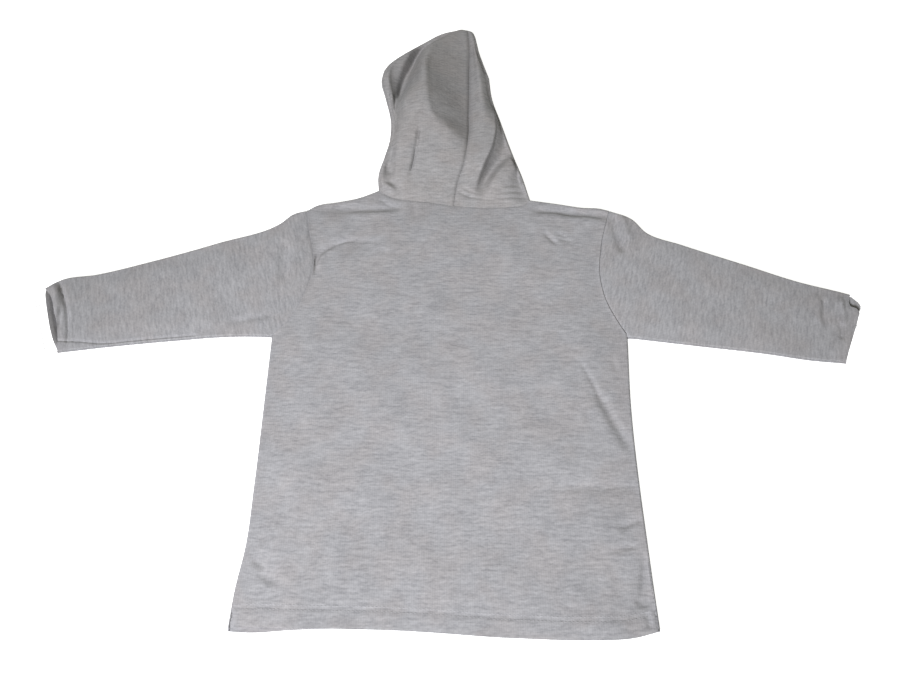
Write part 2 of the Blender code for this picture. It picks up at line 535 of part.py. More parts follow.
def add_piece(name, grids, collection, parent, closed=False):
    """A cloth piece: an open surface with the wall's thickness half to each side."""
    piece = bpy.data.objects.new(name, surface_mesh(name, grids, closed))
    piece.data.materials.append(jersey(name))
    wall = piece.modifiers.new("wall", "SOLIDIFY")
    wall.thickness = WALL
    wall.offset = 0.0
    piece.parent = parent
    collection.objects.link(piece)
    return piece


def clear_scene():
    for thing in list(bpy.data.objects):
        bpy.data.objects.remove(thing)


def main():
    clear_scene()
    collection = bpy.data.collections.new("hooded_cardigan")
    bpy.context.scene.collection.children.link(collection)
    middle = bpy.data.objects.new("garment_middle", None)
    collection.objects.link(middle)
    pieces = [add_piece("back", [back_surface()], collection, middle)]
    for side in ("left", "right"):
        pieces.append(add_piece("front_" + side, [front_surface(side)], collection, middle))
        pieces.append(add_piece("sleeve_" + side, [sleeve_surface(side)], collection, middle, closed=True))
        pieces.append(add_piece("hood_" + side, hood_surfaces(side), collection, middle))
    depsgraph = bpy.context.evaluated_depsgraph_get()
    corners = np.array([corner for piece in pieces for corner in piece.evaluated_get(depsgraph).bound_box])
    low, high = corners.min(0), corners.max(0)
    middle.location = (-(low[0] + high[0]) / 2, -(low[1] + high[1]) / 2, -low[2])


main()
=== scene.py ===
import bmesh
import bpy
import numpy as np
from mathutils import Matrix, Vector


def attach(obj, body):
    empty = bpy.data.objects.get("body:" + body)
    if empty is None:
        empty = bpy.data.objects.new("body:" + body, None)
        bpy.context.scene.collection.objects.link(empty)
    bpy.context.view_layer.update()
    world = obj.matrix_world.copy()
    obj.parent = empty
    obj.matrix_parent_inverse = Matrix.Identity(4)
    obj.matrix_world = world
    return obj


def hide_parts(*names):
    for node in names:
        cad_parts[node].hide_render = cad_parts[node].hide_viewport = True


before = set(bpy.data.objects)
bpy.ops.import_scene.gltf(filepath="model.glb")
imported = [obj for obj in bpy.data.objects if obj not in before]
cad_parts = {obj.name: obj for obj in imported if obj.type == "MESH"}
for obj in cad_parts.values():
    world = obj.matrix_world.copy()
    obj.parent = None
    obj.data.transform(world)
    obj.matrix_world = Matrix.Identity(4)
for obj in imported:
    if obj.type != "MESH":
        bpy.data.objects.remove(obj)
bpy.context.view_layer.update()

# The looks of a small child's hooded cardigan in grey marl jersey, laid flat on its front. The cloth is
# drawn in the drafting frame of the cut: X to the right, 0 halfway between the cuffs, Y up the body, 0
# on the underarm line, Z up. DRAFT_ZERO is where that frame's zero lies in the row frame. Sizes are in
# metres. The tables of corners, lines, folds and bulges are in millimetres
DRAFT_ZERO = (0.0003, -0.0800)

# The cloth, the heights at which the middles of its under and upper layers lie, and how softly the upper
# one is stopped where it would touch the under one
JERSEY_THICKNESS = 0.0012
HALF = JERSEY_THICKNESS / 2
UNDER = 0.00075
UPPER = 0.00335
LEAST_LAYER_GAP = 0.0002
LOWEST_UPPER = UNDER + JERSEY_THICKNESS + LEAST_LAYER_GAP
STOP_SOFTNESS = 0.0003

# The round edge between the layers, how far inside the outline a flat layer ends for it, half the gap
# between two sewn pieces, and the gap between the edges that are not sewn
ROLL = (UPPER - UNDER) / 2
TURN_IN = HALF + ROLL
FOLD_ANGLES = np.radians((20.0, 40.0, 60.0, 80.0, 100.0, 120.0, 140.0, 160.0))
SEAM_ANGLES = np.radians((15.0, 30.0, 45.0, 60.0, 74.0, 86.0))
SEAM_EDGE = [(np.sin(a) * ROLL, (1 - np.cos(a)) * ROLL) for a in SEAM_ANGLES]
HALF_GAP = 0.00002
FRONT_EDGE_GAP = 0.002

# Relief of the spread cloth, the distance from an edge over which each form fades in, and how steeply a
# fold rises from its two ends
FOLD_TAPER = 2.5
WAVE_HEIGHT = 0.0007
HOOD_WAVE_HEIGHT = 0.0008
BODY_PUFF = 0.0012
BODY_PUFF_WIDTH = 0.040
BODY_WAVE_FADE = 0.030
BODY_FOLD_FADE = 0.006
SLEEVE_PUFF = 0.0009
SLEEVE_PUFF_WIDTH = 0.022
SLEEVE_WAVE_FADE = 0.020
SLEEVE_FOLD_FADE = 0.005
ARMHOLE_FOLD_FADE = 0.004

# The hood's folded edge is rounder: half its height, the distances from the neck and the crown over
# which it grows, how far from the crown it stays flat, how far it overlaps the form inside it and then
# blends into it, and over what distance from the neck seam the hood gains its height
HOOD_ROLL = 0.0024
HOOD_ROLL_GROWTH = 0.040
CROWN_FLAT = 0.004
CROWN_ROLL_GROWTH = 0.025
HOOD_EDGE_OVERLAP = 0.0008
HOOD_EDGE_BLEND = 0.0045
HOOD_NECK_BLEND = 0.010

# Turned hems: the doubled cloth's depth and rise, the step where it ends, and the middle of its stitching,
# which lies in a shallow channel. The under layer of the left cuff stands up at its end
HEM_DEPTH = 0.017
CUFF_HEM_DEPTH = 0.012
HEM_RISE = 0.00025
HEM_STEP_WIDTH = 0.0020
HEM_FADE = 0.006
CUFF_HEM_FADE = 0.004
HEM_STITCH_LINE = 0.0153
CHANNEL_FADE = 0.004
CUFF_RIM_RISE = {"left": 0.0032, "right": 0.0}
CUFF_RIM_WIDTH = 0.008
CUFF_RIM_FADE = 0.012

# The groove along each seam: its depth (below 0 it is a low ridge) and its width
GROOVES = {
    "hem_channel": (0.0005, 0.0018), "back_armhole": (-0.0003, 0.0018), "back_neck": (0.0004, 0.0014),
    "sleeve_armhole": (0.0007, 0.0014), "underarm": (0.0008, 0.0011),
    "hood_centre": (0.0013, 0.0010), "hood_neck": (0.0003, 0.0014),
}

# How finely the cloth is drawn: its cells, the faces along some edges, the share of an edge's faces that
# its first part gets, the points of lines that only guide the relief, how near points are welded, and the
# angle from which an edge is sharp
BODY_CELL = 0.0018
SLEEVE_CELL = 0.0016
HOOD_CELL = 0.0016
FRONT_CELL = 0.0045
FRONT_NECK_FACES = 24
FRONT_WIDTH_FACES = 34
FACE_EDGE_SHARE = 0.72
FRONT_SIDE_SHARE = 0.62
SPAN_STEPS = 16
NECK_LINE_FACES = 60
CENTRE_SEAM_FACES = 260
UNDERARM_SEAM_FACES = 160
WELD_REACH = 1e-6
SHARP_EDGE = np.radians(50.0)

# Corners that several pieces share
NAPE = (3.7, 157.5)
CROWN = (21.5, 433.5)
FACE_TOP = (15, 345)
FRONT_NECK = (2.5, 112)
FRONT_HEM = (-4.8, -267)
CORNERS = {
    "left": {
        "underarm": (-164, -1), "shoulder": (-145, 151.5), "neck": (-73.5, 178.5), "hem": (-168.5, -264),
        "crown_corner": (-75.6, 356), "cuff_top": (-386.5, 54), "cuff_end": (-356.5, -18),
    },
    "right": {
        "underarm": (163.5, -2), "shoulder": (161, 151.5), "neck": (82, 165.5), "hem": (159, -266.5),
        "crown_corner": (44.5, 348), "cuff_top": (380, 46.5), "cuff_end": (357, -29.5),
    },
}

# Lines of the cut, each as the few stations (x, y) that its shape needs between its two corners
BACK_HEM = [
    CORNERS["left"]["hem"], (-155, -263.5), (-118, -264.5), (-35, -266.5), (50, -272),
    (100, -273.5), (140, -271.5), CORNERS["right"]["hem"],
]
HOOD_SEAM = [NAPE, (8.2, 188), (13.5, 208), (19.5, 248), (20.5, 290), (22, 360), (22.8, 400), CROWN]
CROWN_SEAM_BELOW = [FACE_TOP, (18.5, 390), (21.3, 420), CROWN]
STATIONS = {
    "left": {
        "side": ("hem", [(-167, -235), (-163, -200), (-162.5, -150), (-163.2, -70)], "underarm"),
        "armhole": ("underarm", [(-149, 19), (-137, 52), (-132.5, 84), (-139.5, 120)], "shoulder"),
        "shoulder_line": ("neck", [(-95, 168), (-115, 162.8), (-137, 157.5)], "shoulder"),
        "neck_seam": (NAPE, [(-20, 162), (-42, 165), (-62, 169.8)], "neck"),
        "neckline": (FRONT_NECK, [(-35, 120), (-60, 144)], "neck"),
        "front_hem": (FRONT_HEM, [(-60, -264), (-118, -264.8), (-154, -266.8)], (-167, -266)),
        "sleeve_top": ("shoulder", [
            (-159, 146.5), (-170, 135), (-230, 109), (-293, 85.5), (-340, 70.5), (-374, 63.5),
        ], "cuff_top"),
        "sleeve_under": ("underarm", [(-193, -0.5), (-262, -6), (-314, -12)], "cuff_end"),
        "cuff_upper": ("cuff_end", [(-362.5, 6), (-369, 24), (-376.5, 42)], "cuff_top"),
        "cuff_under": ("cuff_end", [(-364, -5), (-377, 26), (-383, 43)], "cuff_top"),
        "hood_fold": ("neck", [
            (-75, 195), (-69.5, 225), (-65, 250), (-64.8, 278), (-72.2, 315), (-77.4, 339),
        ], "crown_corner"),
        "hood_crown": (CROWN, [
            (17.5, 434.5), (13, 435.5), (7, 432.5), (-12, 424), (-30, 409.5), (-50, 392), (-63, 378.5),
            (-71, 367),
        ], "crown_corner"),
        "face_edge": (FRONT_NECK, [(-10, 170), (-13, 240), (-2, 310)], FACE_TOP),
    },
    "right": {
        "side": ("hem", [(158.3, -235), (157.7, -190), (157.3, -150), (158.5, -75)], "underarm"),
        "armhole": ("underarm", [(156.5, 13), (147.5, 38), (144, 68), (148.5, 104)], "shoulder"),
        "shoulder_line": ("neck", [(112, 160), (134, 155.6), (152, 154.3)], "shoulder"),
        "neck_seam": (NAPE, [(28.5, 155.2), (60, 156), (75, 158.5)], "neck"),
        "neckline": (FRONT_NECK, [(40, 119), (67, 140)], "neck"),
        "front_hem": (FRONT_HEM, [(50, -270), (100, -272), (140, -270.5)], (158, -266.5)),
        "sleeve_top": ("shoulder", [
            (183, 140.5), (196, 122.5), (229, 107), (286, 82.5), (336, 61), (367, 51),
        ], "cuff_top"),
        "sleeve_under": ("underarm", [(224, -10.5), (292, -20), (325, -26)], "cuff_end"),
        "cuff_upper": ("cuff_end", [
            (361.2, -20), (371, 0), (379.5, 18), (382.2, 25), (380.5, 29.2), (376.2, 31.2), (375.8, 37),
            (377.5, 42),
        ], "cuff_top"),
        "cuff_under": ("cuff_end", [(361.5, -20), (382, 24), (387.2, 34.5)], "cuff_top"),
        "hood_fold": ("neck", [(76.5, 192), (66.5, 230), (55, 280), (47, 315)], "crown_corner"),
        "hood_crown": (CROWN, [(26, 431), (29, 424), (31.5, 410), (34, 393), (38, 375)], "crown_corner"),
        "face_edge": (FRONT_NECK, [(19, 170), (26, 240), (24, 310)], FACE_TOP),
    },
}

# Going up the left side of the garment its outside is on the left hand, and up the right side on the right
TURN = {"left": 1, "right": -1}
# Which way the round edge points where a seam runs over it
NECK_OUT = {"left": (-0.78, 0.62), "right": (0.66, 0.75)}
SHOULDER_OUT = {"left": (-0.20, 0.98), "right": (0.25, 0.97)}
UNDERARM_OUT = {"left": (-0.80, -0.60), "right": (0.80, -0.60)}
CROWN_OUT = (0.0, 1.0)
# How much of the line such a direction takes to blend into the line's own: one part in this many
OUT_BLEND_PARTS = 12

# The faint waves of cloth spread by hand: how fast each turns across and up the cloth, in radians a
# metre, and where it begins, in radians
WAVES = [(31.0, 54.0, 0.4), (-47.0, 38.0, 1.9), (83.0, -21.0, 3.1), (19.0, 97.0, 5.0), (-112.0, -71.0, 2.2)]

# Folds. Each row is x1, y1, x2, y2 (its two ends), bow (how far its middle lies to the left of the line
# from end 1 to end 2), left and right (how far it spreads to each side) and height (below 0 for a trough)
BODY_FOLDS = [
    # Shoulder troughs, left and right
    (-130, 151.5, -93, 154, 0.6, 4.4, 6, -0.9),
    (-112, 153.5, -52, 155, -1.4, 4.4, 5.2, -1.3),
    (-100, 146.5, -56, 148, -1, 3.6, 6.5, 0.8),
    (85, 151.2, 130, 146.8, 0.6, 4, 4.8, -1.2),
    (114, 149, 159, 143, -0.4, 4.8, 5.4, -1.3),
    (90, 145.5, 154, 137, 0.8, 4, 7, 0.9),
    # Below the neck seam
    (-72, 166, -52, 155, -1.6, 2.6, 2.4, -0.6),
    (-37, 160, -36, 140, 0, 2.2, 2.2, -0.5),
    # The fold that curves in from the left armhole, with the soft slope below it
    (-130.2, 72, -130, 90, 0, 1.6, 1.6, -1),
    (-130.6, 83, -118.5, 103.5, 3.4, 1.8, 1.7, -2),
    (-127.5, 82, -115, 100, 3, 2.2, 4.4, 1),
    (-122.5, 101, -96, 112.6, 1.8, 2.6, 1.7, -1.6),
    (-98, 111.5, -68, 110, 0, 2.6, 2.2, -0.6),
    (-130, 95, -80, 108, 6, 5, 13, -0.9),
    (-70, 98, -45, 94, 0, 3, 3, -0.4),
    # The dimple at the right shoulder
    (94.5, 120, 104, 107.5, 0, 2.2, 2.2, -1.2),
    (108, 112.8, 120, 110.8, 0, 1.8, 1.8, -0.8),
    (106, 119.8, 116, 115.5, 0, 1.8, 1.8, -0.8),
    # The long fold down the right side
    (118.5, -31, 133, -68, 0, 1.7, 1.7, -0.8),
    (130, -62, 153, -115, 0.5, 4, 5, -1.2),
    (125, -68, 144, -118, 0, 5, 8, 0.6),
    (148, -27, 149, -38, 0, 1.6, 1.6, -0.6),
    # Soft wrinkles and short creases near the hem
    (90, -150.5, 158, -150, 0, 5, 5, -0.7),
    (137, -185.5, 156, -176.5, 0, 3, 2.4, -1.1),
    (129, -204.5, 148, -200, 0, 2.4, 2.2, -0.9),
    (155, -210, 147.5, -248, 1, 6.4, 4, -2),
    (142.5, -244, 154, -243, 0, 2.2, 2.2, -0.9),
    (150, -253, 151.5, -264, 0, 2.2, 2, -1),
    (-155, -212, -145.5, -217.5, 0, 9, 2.6, -1),
    (-150, -222.5, -136, -230, 0, 9, 2.8, -1.1),
    # Broad unevenness of the body
    (-90, -70, 70, -30, 10, 40, 40, 0.8),
    (-110, -180, 90, -200, 5, 35, 35, -0.6),
]
SLEEVE_FOLDS = [
    # The left cap and the left sleeve's lower edge
    (-164, 108, -159, 62, 0, 6, 6, -1.2),
    (-203, 15, -165, 22.5, 0, 4, 4, -0.8),
    # The left cuff: its lifted edge, and the fold behind it with a short branch
    (-377.5, 56, -366.5, 20, 1, 4, 3.6, 1.8),
    (-373.5, 60, -350, -6, 3.4, 1.2, 2.3, -1.5),
    (-365.5, 30, -361.5, 9, 0, 2, 1.6, -0.9),
    # The right cap: a valley between two ridges
    (165.5, 141, 169, 100, 0, 4, 4.8, -2.6),
    (174, 143, 176.5, 115, 0, 3.6, 3.6, 1),
    # Puckers at the right cuff
    (353.5, 40, 347.5, 13, 0, 2.6, 3.4, -1.3),
    (349, 42, 342, 15, 0, 3, 4, 1),
    (363, 12, 359, -4, 0, 2, 2.2, -1.5),
    (369, 41, 365, 12, 0, 2.6, 3, 1.4),
]
# The left sleeve's underarm seam shows near the cuff, where it has rolled up onto the top
UNDERARM_SEAM = {
    "left": [(-360, -6), (-341, -6.6), (-317, -8.5), (-290, -5.5), (-262, -2.5), (-235, 0)],
}
HOOD_FOLDS = [
    (-33, 256, -41, 199, 1, 1.5, 1.8, -2.2),
    (-62, 190, -53, 172, 3, 4, 5.5, -1.7),
    (-67, 184, -60, 179, 0, 4, 4, 0.7),
    (-72, 214, -60, 201, -1, 6, 6, -1.4),
    (8, 177, 29, 167, -2, 1.4, 1.8, -0.9),
    (15, 180, 27, 173, -1, 1.4, 1.8, -0.7),
    (40, 170, 76, 178, 1, 2, 3, -0.8),
    (46, 176.5, 70, 187, 1, 2, 3.2, -0.9),
    (54, 185, 68, 195, 1, 2, 3, -0.7),
    (42, 165, 78, 169, 1, 1.8, 2.2, -0.7),
]

# Where the hood's folded edge is rounder than elsewhere: x, y, how much the roll grows there and its reach
HOOD_BULGES = [
    (-79, 340, 3.2, 40),
    (-78, 198, 1, 30),
]

# The hood's upper layer: lines that run up it from the neck to the crown, from the left edge to the right
# edge. Each station is y (up the hood), x (across it) and z (the cloth's height)
HOOD_LINES = {
    "outside_left": [
        (160, -84, 4), (200, -83, 5), (240, -76, 5), (270, -72, 5), (300, -77, 8), (340, -88, 13),
        (365, -87, 12.5), (385, -66, 9), (400, -50, 6), (420, -29, 4), (438, -4, 4),
    ],
    "ledge": [
        (160, -76, 3.8), (177, -75, 6), (190, -73, 7), (205, -70.5, 7.4), (222, -66, 7), (240, -63, 8.6),
        (270, -60.5, 10.4), (283, -62.3, 11.6), (300, -66, 13), (312, -67.5, 13.6), (322, -69, 13.8),
        (337, -71, 13.8), (350, -71.5, 13.8), (362, -69.5, 12.8), (371, -64, 12), (385, -56.5, 10.4),
        (395, -49, 8.2), (403, -42.5, 6.2), (420, -20, 4.5), (438, 0, 4),
    ],
    "ledge_crest": [
        (160, -70, 3.7), (177, -69, 5.6), (190, -67.5, 6), (205, -65.5, 6), (222, -62.5, 6.4),
        (240, -60, 10.2), (270, -58, 10.8), (283, -60.2, 9.8), (300, -63, 10), (312, -64, 11),
        (322, -65, 11.2), (337, -65.5, 11), (350, -65, 11), (362, -62.5, 11), (371, -58, 11),
        (385, -52.5, 10.6), (395, -46, 9), (403, -40, 7), (420, -17, 5), (438, 3, 4),
    ],
    "ledge_foot": [
        (160, -64, 3.6), (177, -62.5, 5.6), (190, -61.5, 5.6), (205, -60.5, 6.4), (222, -59.5, 8.4),
        (240, -57, 12.2), (270, -56, 12.8), (283, -58, 9.4), (300, -60.8, 7.6), (312, -60.5, 7.2),
        (322, -60, 7.6), (337, -59, 7.8), (350, -57, 8.8), (362, -55, 10.4), (371, -52, 10.8),
        (382, -48, 10.8), (393, -42.5, 9.4), (403, -36, 7), (420, -13, 5), (438, 5, 4),
    ],
    "crease": [
        (160, -57, 3.6), (177, -57, 5.7), (190, -56, 6.4), (205, -55, 8.6), (222, -55, 11), (240, -54, 14),
        (270, -53, 15), (283, -55, 12.6), (300, -57.4, 9.6), (312, -57, 6.2), (322, -56, 3.8),
        (337, -53.5, 2.8), (350, -50.5, 2.8), (362, -45.5, 2.8), (371, -42.5, 2.8), (382, -39.5, 3),
        (390, -36, 3.4), (397, -32.5, 4), (407, -23, 5), (420, -9, 5), (438, 7, 4),
    ],
    "shelf_left": [
        (160, -46, 3.6), (180, -46, 5.8), (200, -46, 8.9), (225, -46, 12.6), (250, -46, 16.3),
        (270, -46, 18.5), (290, -46, 19.8), (305, -45.5, 18.6), (320, -43.5, 15.6), (335, -40.5, 13.4),
        (350, -38.5, 12), (365, -36.5, 10.8), (378, -34.5, 9.4), (388, -31.5, 8.4), (397, -27.5, 7.6),
        (407, -18.5, 6.8), (420, -5, 5.6), (438, 9, 4),
    ],
    "shelf": [
        (160, -22, 3.6), (180, -22, 5.7), (200, -22, 8.6), (225, -21, 12.6), (245, -17, 16.2),
        (254, -14, 17.8), (262, -16, 19.4), (276, -21.5, 21.8), (291, -25, 23.8), (306, -26.5, 24.2),
        (320, -27, 23.8), (335, -27.5, 22.2), (350, -28, 20), (362, -27.5, 17.6), (375, -26, 15.2),
        (390, -21, 12.4), (407, -12, 9), (420, -1, 6.4), (438, 11, 4),
    ],
    "dip_start": [
        (160, -14, 3.6), (180, -14, 5.7), (200, -13, 8.6), (225, -9, 12.5), (245, -4, 15.8), (254, -3, 17),
        (262, -7.5, 17.8), (276, -14.5, 19.4), (291, -19, 21.4), (306, -20.5, 21.8), (320, -21, 21.2),
        (335, -21.5, 19.8), (350, -22, 17.6), (362, -21.5, 15.4), (375, -19.5, 13.2), (390, -14, 10.8),
        (407, -5, 7.9), (420, 3, 6), (438, 12, 4),
    ],
    "dip_middle": [
        (160, -4, 3.6), (180, -2, 5.7), (200, 0, 8.5), (225, 5, 11.9), (245, 7, 14), (254, 6, 13.9),
        (262, 4, 13.6), (276, 0, 13.2), (291, -1, 13.6), (306, -2, 13.8), (320, -2, 13.2), (335, -2, 12.2),
        (350, -3, 11.2), (370, -3.5, 9.8), (390, 0, 8), (407, 5, 6.4), (420, 9, 5.3), (438, 13, 4),
    ],
    "dip": [
        (160, 1, 3.6), (180, 4.5, 5.6), (200, 9.5, 8.2), (225, 14.6, 11), (240, 16.8, 11.2),
        (250, 17.8, 10), (262, 18.4, 8.2), (274, 18.7, 6.7), (287, 18.9, 5.7), (300, 19.2, 5.1),
        (320, 19.7, 4.7), (360, 20.7, 4.3), (400, 21.2, 4.2), (420, 20.8, 4.2), (438, 19, 4),
    ],
    "seam": [
        (160, 4.7, 3.6), (180, 7, 5.5), (200, 11.5, 8), (225, 16.5, 10.6), (240, 18.7, 10.6),
        (250, 19.5, 9.6), (262, 20, 7.8), (274, 20.2, 6.3), (287, 20.4, 5.3), (300, 20.6, 4.7),
        (320, 21, 4.3), (360, 22, 3.9), (400, 22.5, 3.9), (420, 22.2, 4), (438, 21, 4),
    ],
    "lobe_left": [
        (160, 12, 3.6), (180, 13, 5.9), (200, 18, 8.8), (225, 22.5, 11.6), (250, 25, 11.4),
        (270, 25.5, 9.6), (290, 25.7, 8), (320, 26, 7), (360, 26.5, 6.2), (400, 26.5, 5.3),
        (420, 25.2, 4.8), (438, 23, 4),
    ],
    "lobe_crest": [
        (160, 20, 3.6), (180, 18.5, 6.4), (200, 24, 9.4), (212, 28, 10.8), (225, 33, 12), (250, 37, 13.2),
        (270, 38, 13.2), (283, 37.5, 12.8), (300, 36, 12), (320, 34.5, 11), (350, 33, 9.8),
        (380, 30.5, 8.2), (400, 28.8, 6.8), (420, 26.4, 5.3), (438, 24, 4),
    ],
    "lobe_edge": [
        (160, 26, 3.8), (176, 25.6, 6.2), (192, 29.3, 8.6), (203, 33, 10.2), (212, 36.2, 11.2),
        (222, 40.2, 12), (232, 43.4, 12.8), (245, 46, 13.4), (262, 48, 12.6), (283, 47.5, 10.2),
        (300, 45, 8), (320, 43, 7.1), (350, 40.5, 6.5), (380, 36, 6), (400, 32.5, 5.4), (420, 28.5, 4.9),
        (438, 25, 4),
    ],
    "lobe_foot": [
        (160, 29, 3.8), (176, 28, 5.4), (192, 31.3, 6.2), (203, 35.1, 7), (212, 38.3, 7.8),
        (222, 42.4, 8.7), (232, 45.7, 9.9), (245, 48.4, 10.8), (262, 50.4, 10.4), (283, 50, 8.6),
        (300, 48, 6.8), (320, 46, 6.2), (350, 43.5, 5.9), (380, 39.5, 5.6), (400, 35.5, 5),
        (420, 33, 4.3), (438, 30, 4),
    ],
    "recess": [
        (160, 36, 4), (173, 32, 5), (183, 33.6, 4.2), (192, 36.6, 3.4), (202, 41.4, 3), (212, 47, 3),
        (222, 53.6, 3.3), (232, 58.5, 4.2), (245, 59.5, 5), (262, 58, 5.5), (283, 55, 5.8),
        (300, 52.5, 6), (340, 50, 6), (380, 44, 4.5), (438, 35, 4),
    ],
    "neck_ridge": [
        (160, 52, 4.6), (173, 44, 7), (183, 45.5, 8.8), (192, 49, 9.6), (202, 55, 9.6), (212, 62, 8.8),
        (222, 67.5, 7.2), (232, 70, 5.6), (245, 69, 5.2), (300, 63, 5), (438, 55, 4),
    ],
    "below_ridge": [
        (160, 60, 4.6), (173, 54, 6.6), (183, 55, 8), (192, 58.5, 8.7), (202, 64, 8.6), (212, 70, 7.6),
        (222, 74, 6), (232, 75, 5), (300, 71, 5), (438, 65, 4),
    ],
    "outside_right": [
        (160, 80, 3.2), (173, 78, 3), (192, 75, 3), (213, 76, 3.8), (223, 82, 4), (300, 78, 5),
        (438, 75, 4),
    ],
}


def unit(vectors):
    return vectors / np.linalg.norm(vectors, axis=-1, keepdims=True)


def metres(table):
    """The rows of a table that is in millimetres."""
    return np.array(table, float) / 1000


def running_length(points):
    steps = np.linalg.norm(np.diff(points, axis=0), axis=1)
    return np.concatenate([[0.0], np.cumsum(steps)])


def shares_along(line):
    length = running_length(line)
    return length / length[-1]


def cubic(t, step, start, start_slope, end, end_slope):
    """A smooth span between two stations that lie a step apart. t runs from 0 to 1."""
    return (
        (2 * t**3 - 3 * t**2 + 1) * start
        + (t**3 - 2 * t**2 + t) * step * start_slope
        + (3 * t**2 - 2 * t**3) * end
        + (t**3 - t**2) * step * end_slope
    )


def line_through(stations, faces, start=0.0, end=0.0):
    """Evenly spaced points on a smooth line through a table's stations, shortened by start and end."""
    knots = metres(stations)
    at = running_length(knots)
    slopes = np.gradient(knots, at, axis=0)
    t = np.linspace(0.0, 1.0, SPAN_STEPS, endpoint=False)[:, None]
    spans = [
        cubic(t, at[i + 1] - at[i], knots[i], slopes[i], knots[i + 1], slopes[i + 1])
        for i in range(len(knots) - 1)
    ]
    dense = np.vstack([*spans, knots[-1:]])
    length = running_length(dense)
    places = np.linspace(start, length[-1] - end, faces + 1)
    return np.column_stack([np.interp(places, length, dense[:, k]) for k in range(2)])


def cells(stations, size):
    """How many cells of about that size fit along a line."""
    return max(2, round(running_length(metres(stations))[-1] / size))


def chain(*lines):
    """Lines joined end to end; each later line's first point takes the place of the one before it."""
    return np.vstack([*(line[:-1] for line in lines[:-1]), lines[-1]])


def left_of(line):
    along = np.gradient(line, axis=0)
    return unit(np.column_stack([-along[:, 1], along[:, 0]]))


def beside(line, distance):
    """The line moved to its left by a distance, or to its right if the distance is below 0."""
    return line + left_of(line) * distance


def filled(bottom, right, top, left):
    """Rows of points that fill a four-sided outline. Left and right run from bottom to top."""
    u = (shares_along(bottom) + shares_along(top))[None, :, None] / 2
    v = (shares_along(left) + shares_along(right))[:, None, None] / 2
    corners = (1 - v) * ((1 - u) * bottom[0] + u * bottom[-1]) + v * ((1 - u) * top[0] + u * top[-1])
    return (1 - v) * bottom + v * top + (1 - u) * left[:, None] + u * right[:, None] - corners


def smooth_step(share):
    """Rises from 0 to 1 with a soft start and a soft end."""
    share = np.clip(share, 0.0, 1.0)
    return share * share * (3 - 2 * share)


def distance_to(plan, line):
    """Distance in plan from each point to the nearest point of a line."""
    flat = plan.reshape(-1, 2)
    nearest = np.full(len(flat), np.inf)
    for point in line:
        nearest = np.minimum(nearest, ((flat - point) ** 2).sum(-1))
    return np.sqrt(nearest).reshape(plan.shape[:-1])


def relief(plan, folds):
    """Height of all the folds of a table at each point."""
    x, y = plan[..., 0], plan[..., 1]
    height = np.zeros(x.shape)
    for x1, y1, x2, y2, bow, left, right, peak in metres(folds):
        length = np.hypot(x2 - x1, y2 - y1)
        along_x, along_y = (x2 - x1) / length, (y2 - y1) / length
        share = ((x - x1) * along_x + (y - y1) * along_y) / length
        aside = (y - y1) * along_x - (x - x1) * along_y
        between = np.clip(share, 0, 1)
        aside = aside - bow * 4 * between * (1 - between)
        spread = np.where(aside > 0, left, right)
        past_end = np.maximum(np.maximum(-share, share - 1), 0) * length
        taper = smooth_step(0.5 + FOLD_TAPER * np.minimum(share, 1 - share))
        height += peak * taper * np.exp(-((aside / spread) ** 2) - (past_end / (left + right)) ** 2)
    return height


def level_slopes(slopes):
    """Slopes at the stations between spans: level at both ends and on each peak and trough, so that a
    cubic through them never passes beyond its stations."""
    product, total = slopes[:-1] * slopes[1:], slopes[:-1] + slopes[1:]
    inner = np.where(product > 0, 2 * product / np.where(product > 0, total, 1.0), 0.0)
    level = np.zeros_like(slopes[:1])
    return np.concatenate([level, inner, level])


def eased(places, stations, values):
    """Values at places between stations, as a cubic with level slopes."""
    steps = np.diff(stations)
    slopes = level_slopes(np.diff(values) / steps)
    i = np.clip(np.searchsorted(stations, places) - 1, 0, len(steps) - 1)
    t = np.clip((places - stations[i]) / steps[i], 0.0, 1.0)
    return cubic(t, steps[i], values[i], slopes[i], values[i + 1], slopes[i + 1])


def lofted(plan, lines):
    """Height of the sheet that runs through all the lines."""
    x, y = plan[..., 0].ravel(), plan[..., 1].ravel()
    tables = [metres(stations).T for stations in lines.values()]
    at = np.stack([eased(y, ys, xs) for ys, xs, zs in tables])
    high = np.stack([eased(y, ys, zs) for ys, xs, zs in tables])
    steps = np.diff(at, axis=0)
    slopes = level_slopes(np.diff(high, axis=0) / steps)
    height = np.where(x < at[0], high[0], high[-1])
    for i, step in enumerate(steps):
        t = (x - at[i]) / step
        span = cubic(t, step, high[i], slopes[i], high[i + 1], slopes[i + 1])
        height = np.where((t >= 0) & (t < 1), span, height)
    return height.reshape(plan.shape[:-1])


def waviness(plan, size):
    x, y = plan[..., 0], plan[..., 1]
    return size * sum(np.sin(a * x + b * y + c) for a, b, c in WAVES) / len(WAVES)


def groove(plan, line, name):
    """The dip where two pieces are sewn together."""
    depth, width = GROOVES[name]
    return -depth * np.exp(-((distance_to(plan, line) / width) ** 2))


def hem_step(from_hem, depth):
    """The doubled cloth of a turned hem, down again where its turned edge ends."""
    return HEM_RISE * (1 - smooth_step((from_hem - depth) / HEM_STEP_WIDTH))


def kept_above(height, lowest):
    """Softly stops a height from going below the lowest one, where the layer underneath lies."""
    rise = height - lowest
    return lowest + 0.5 * (rise + np.sqrt(rise**2 + STOP_SOFTNESS**2))


def with_height(plan, height):
    return np.concatenate([plan, height[..., None]], -1)


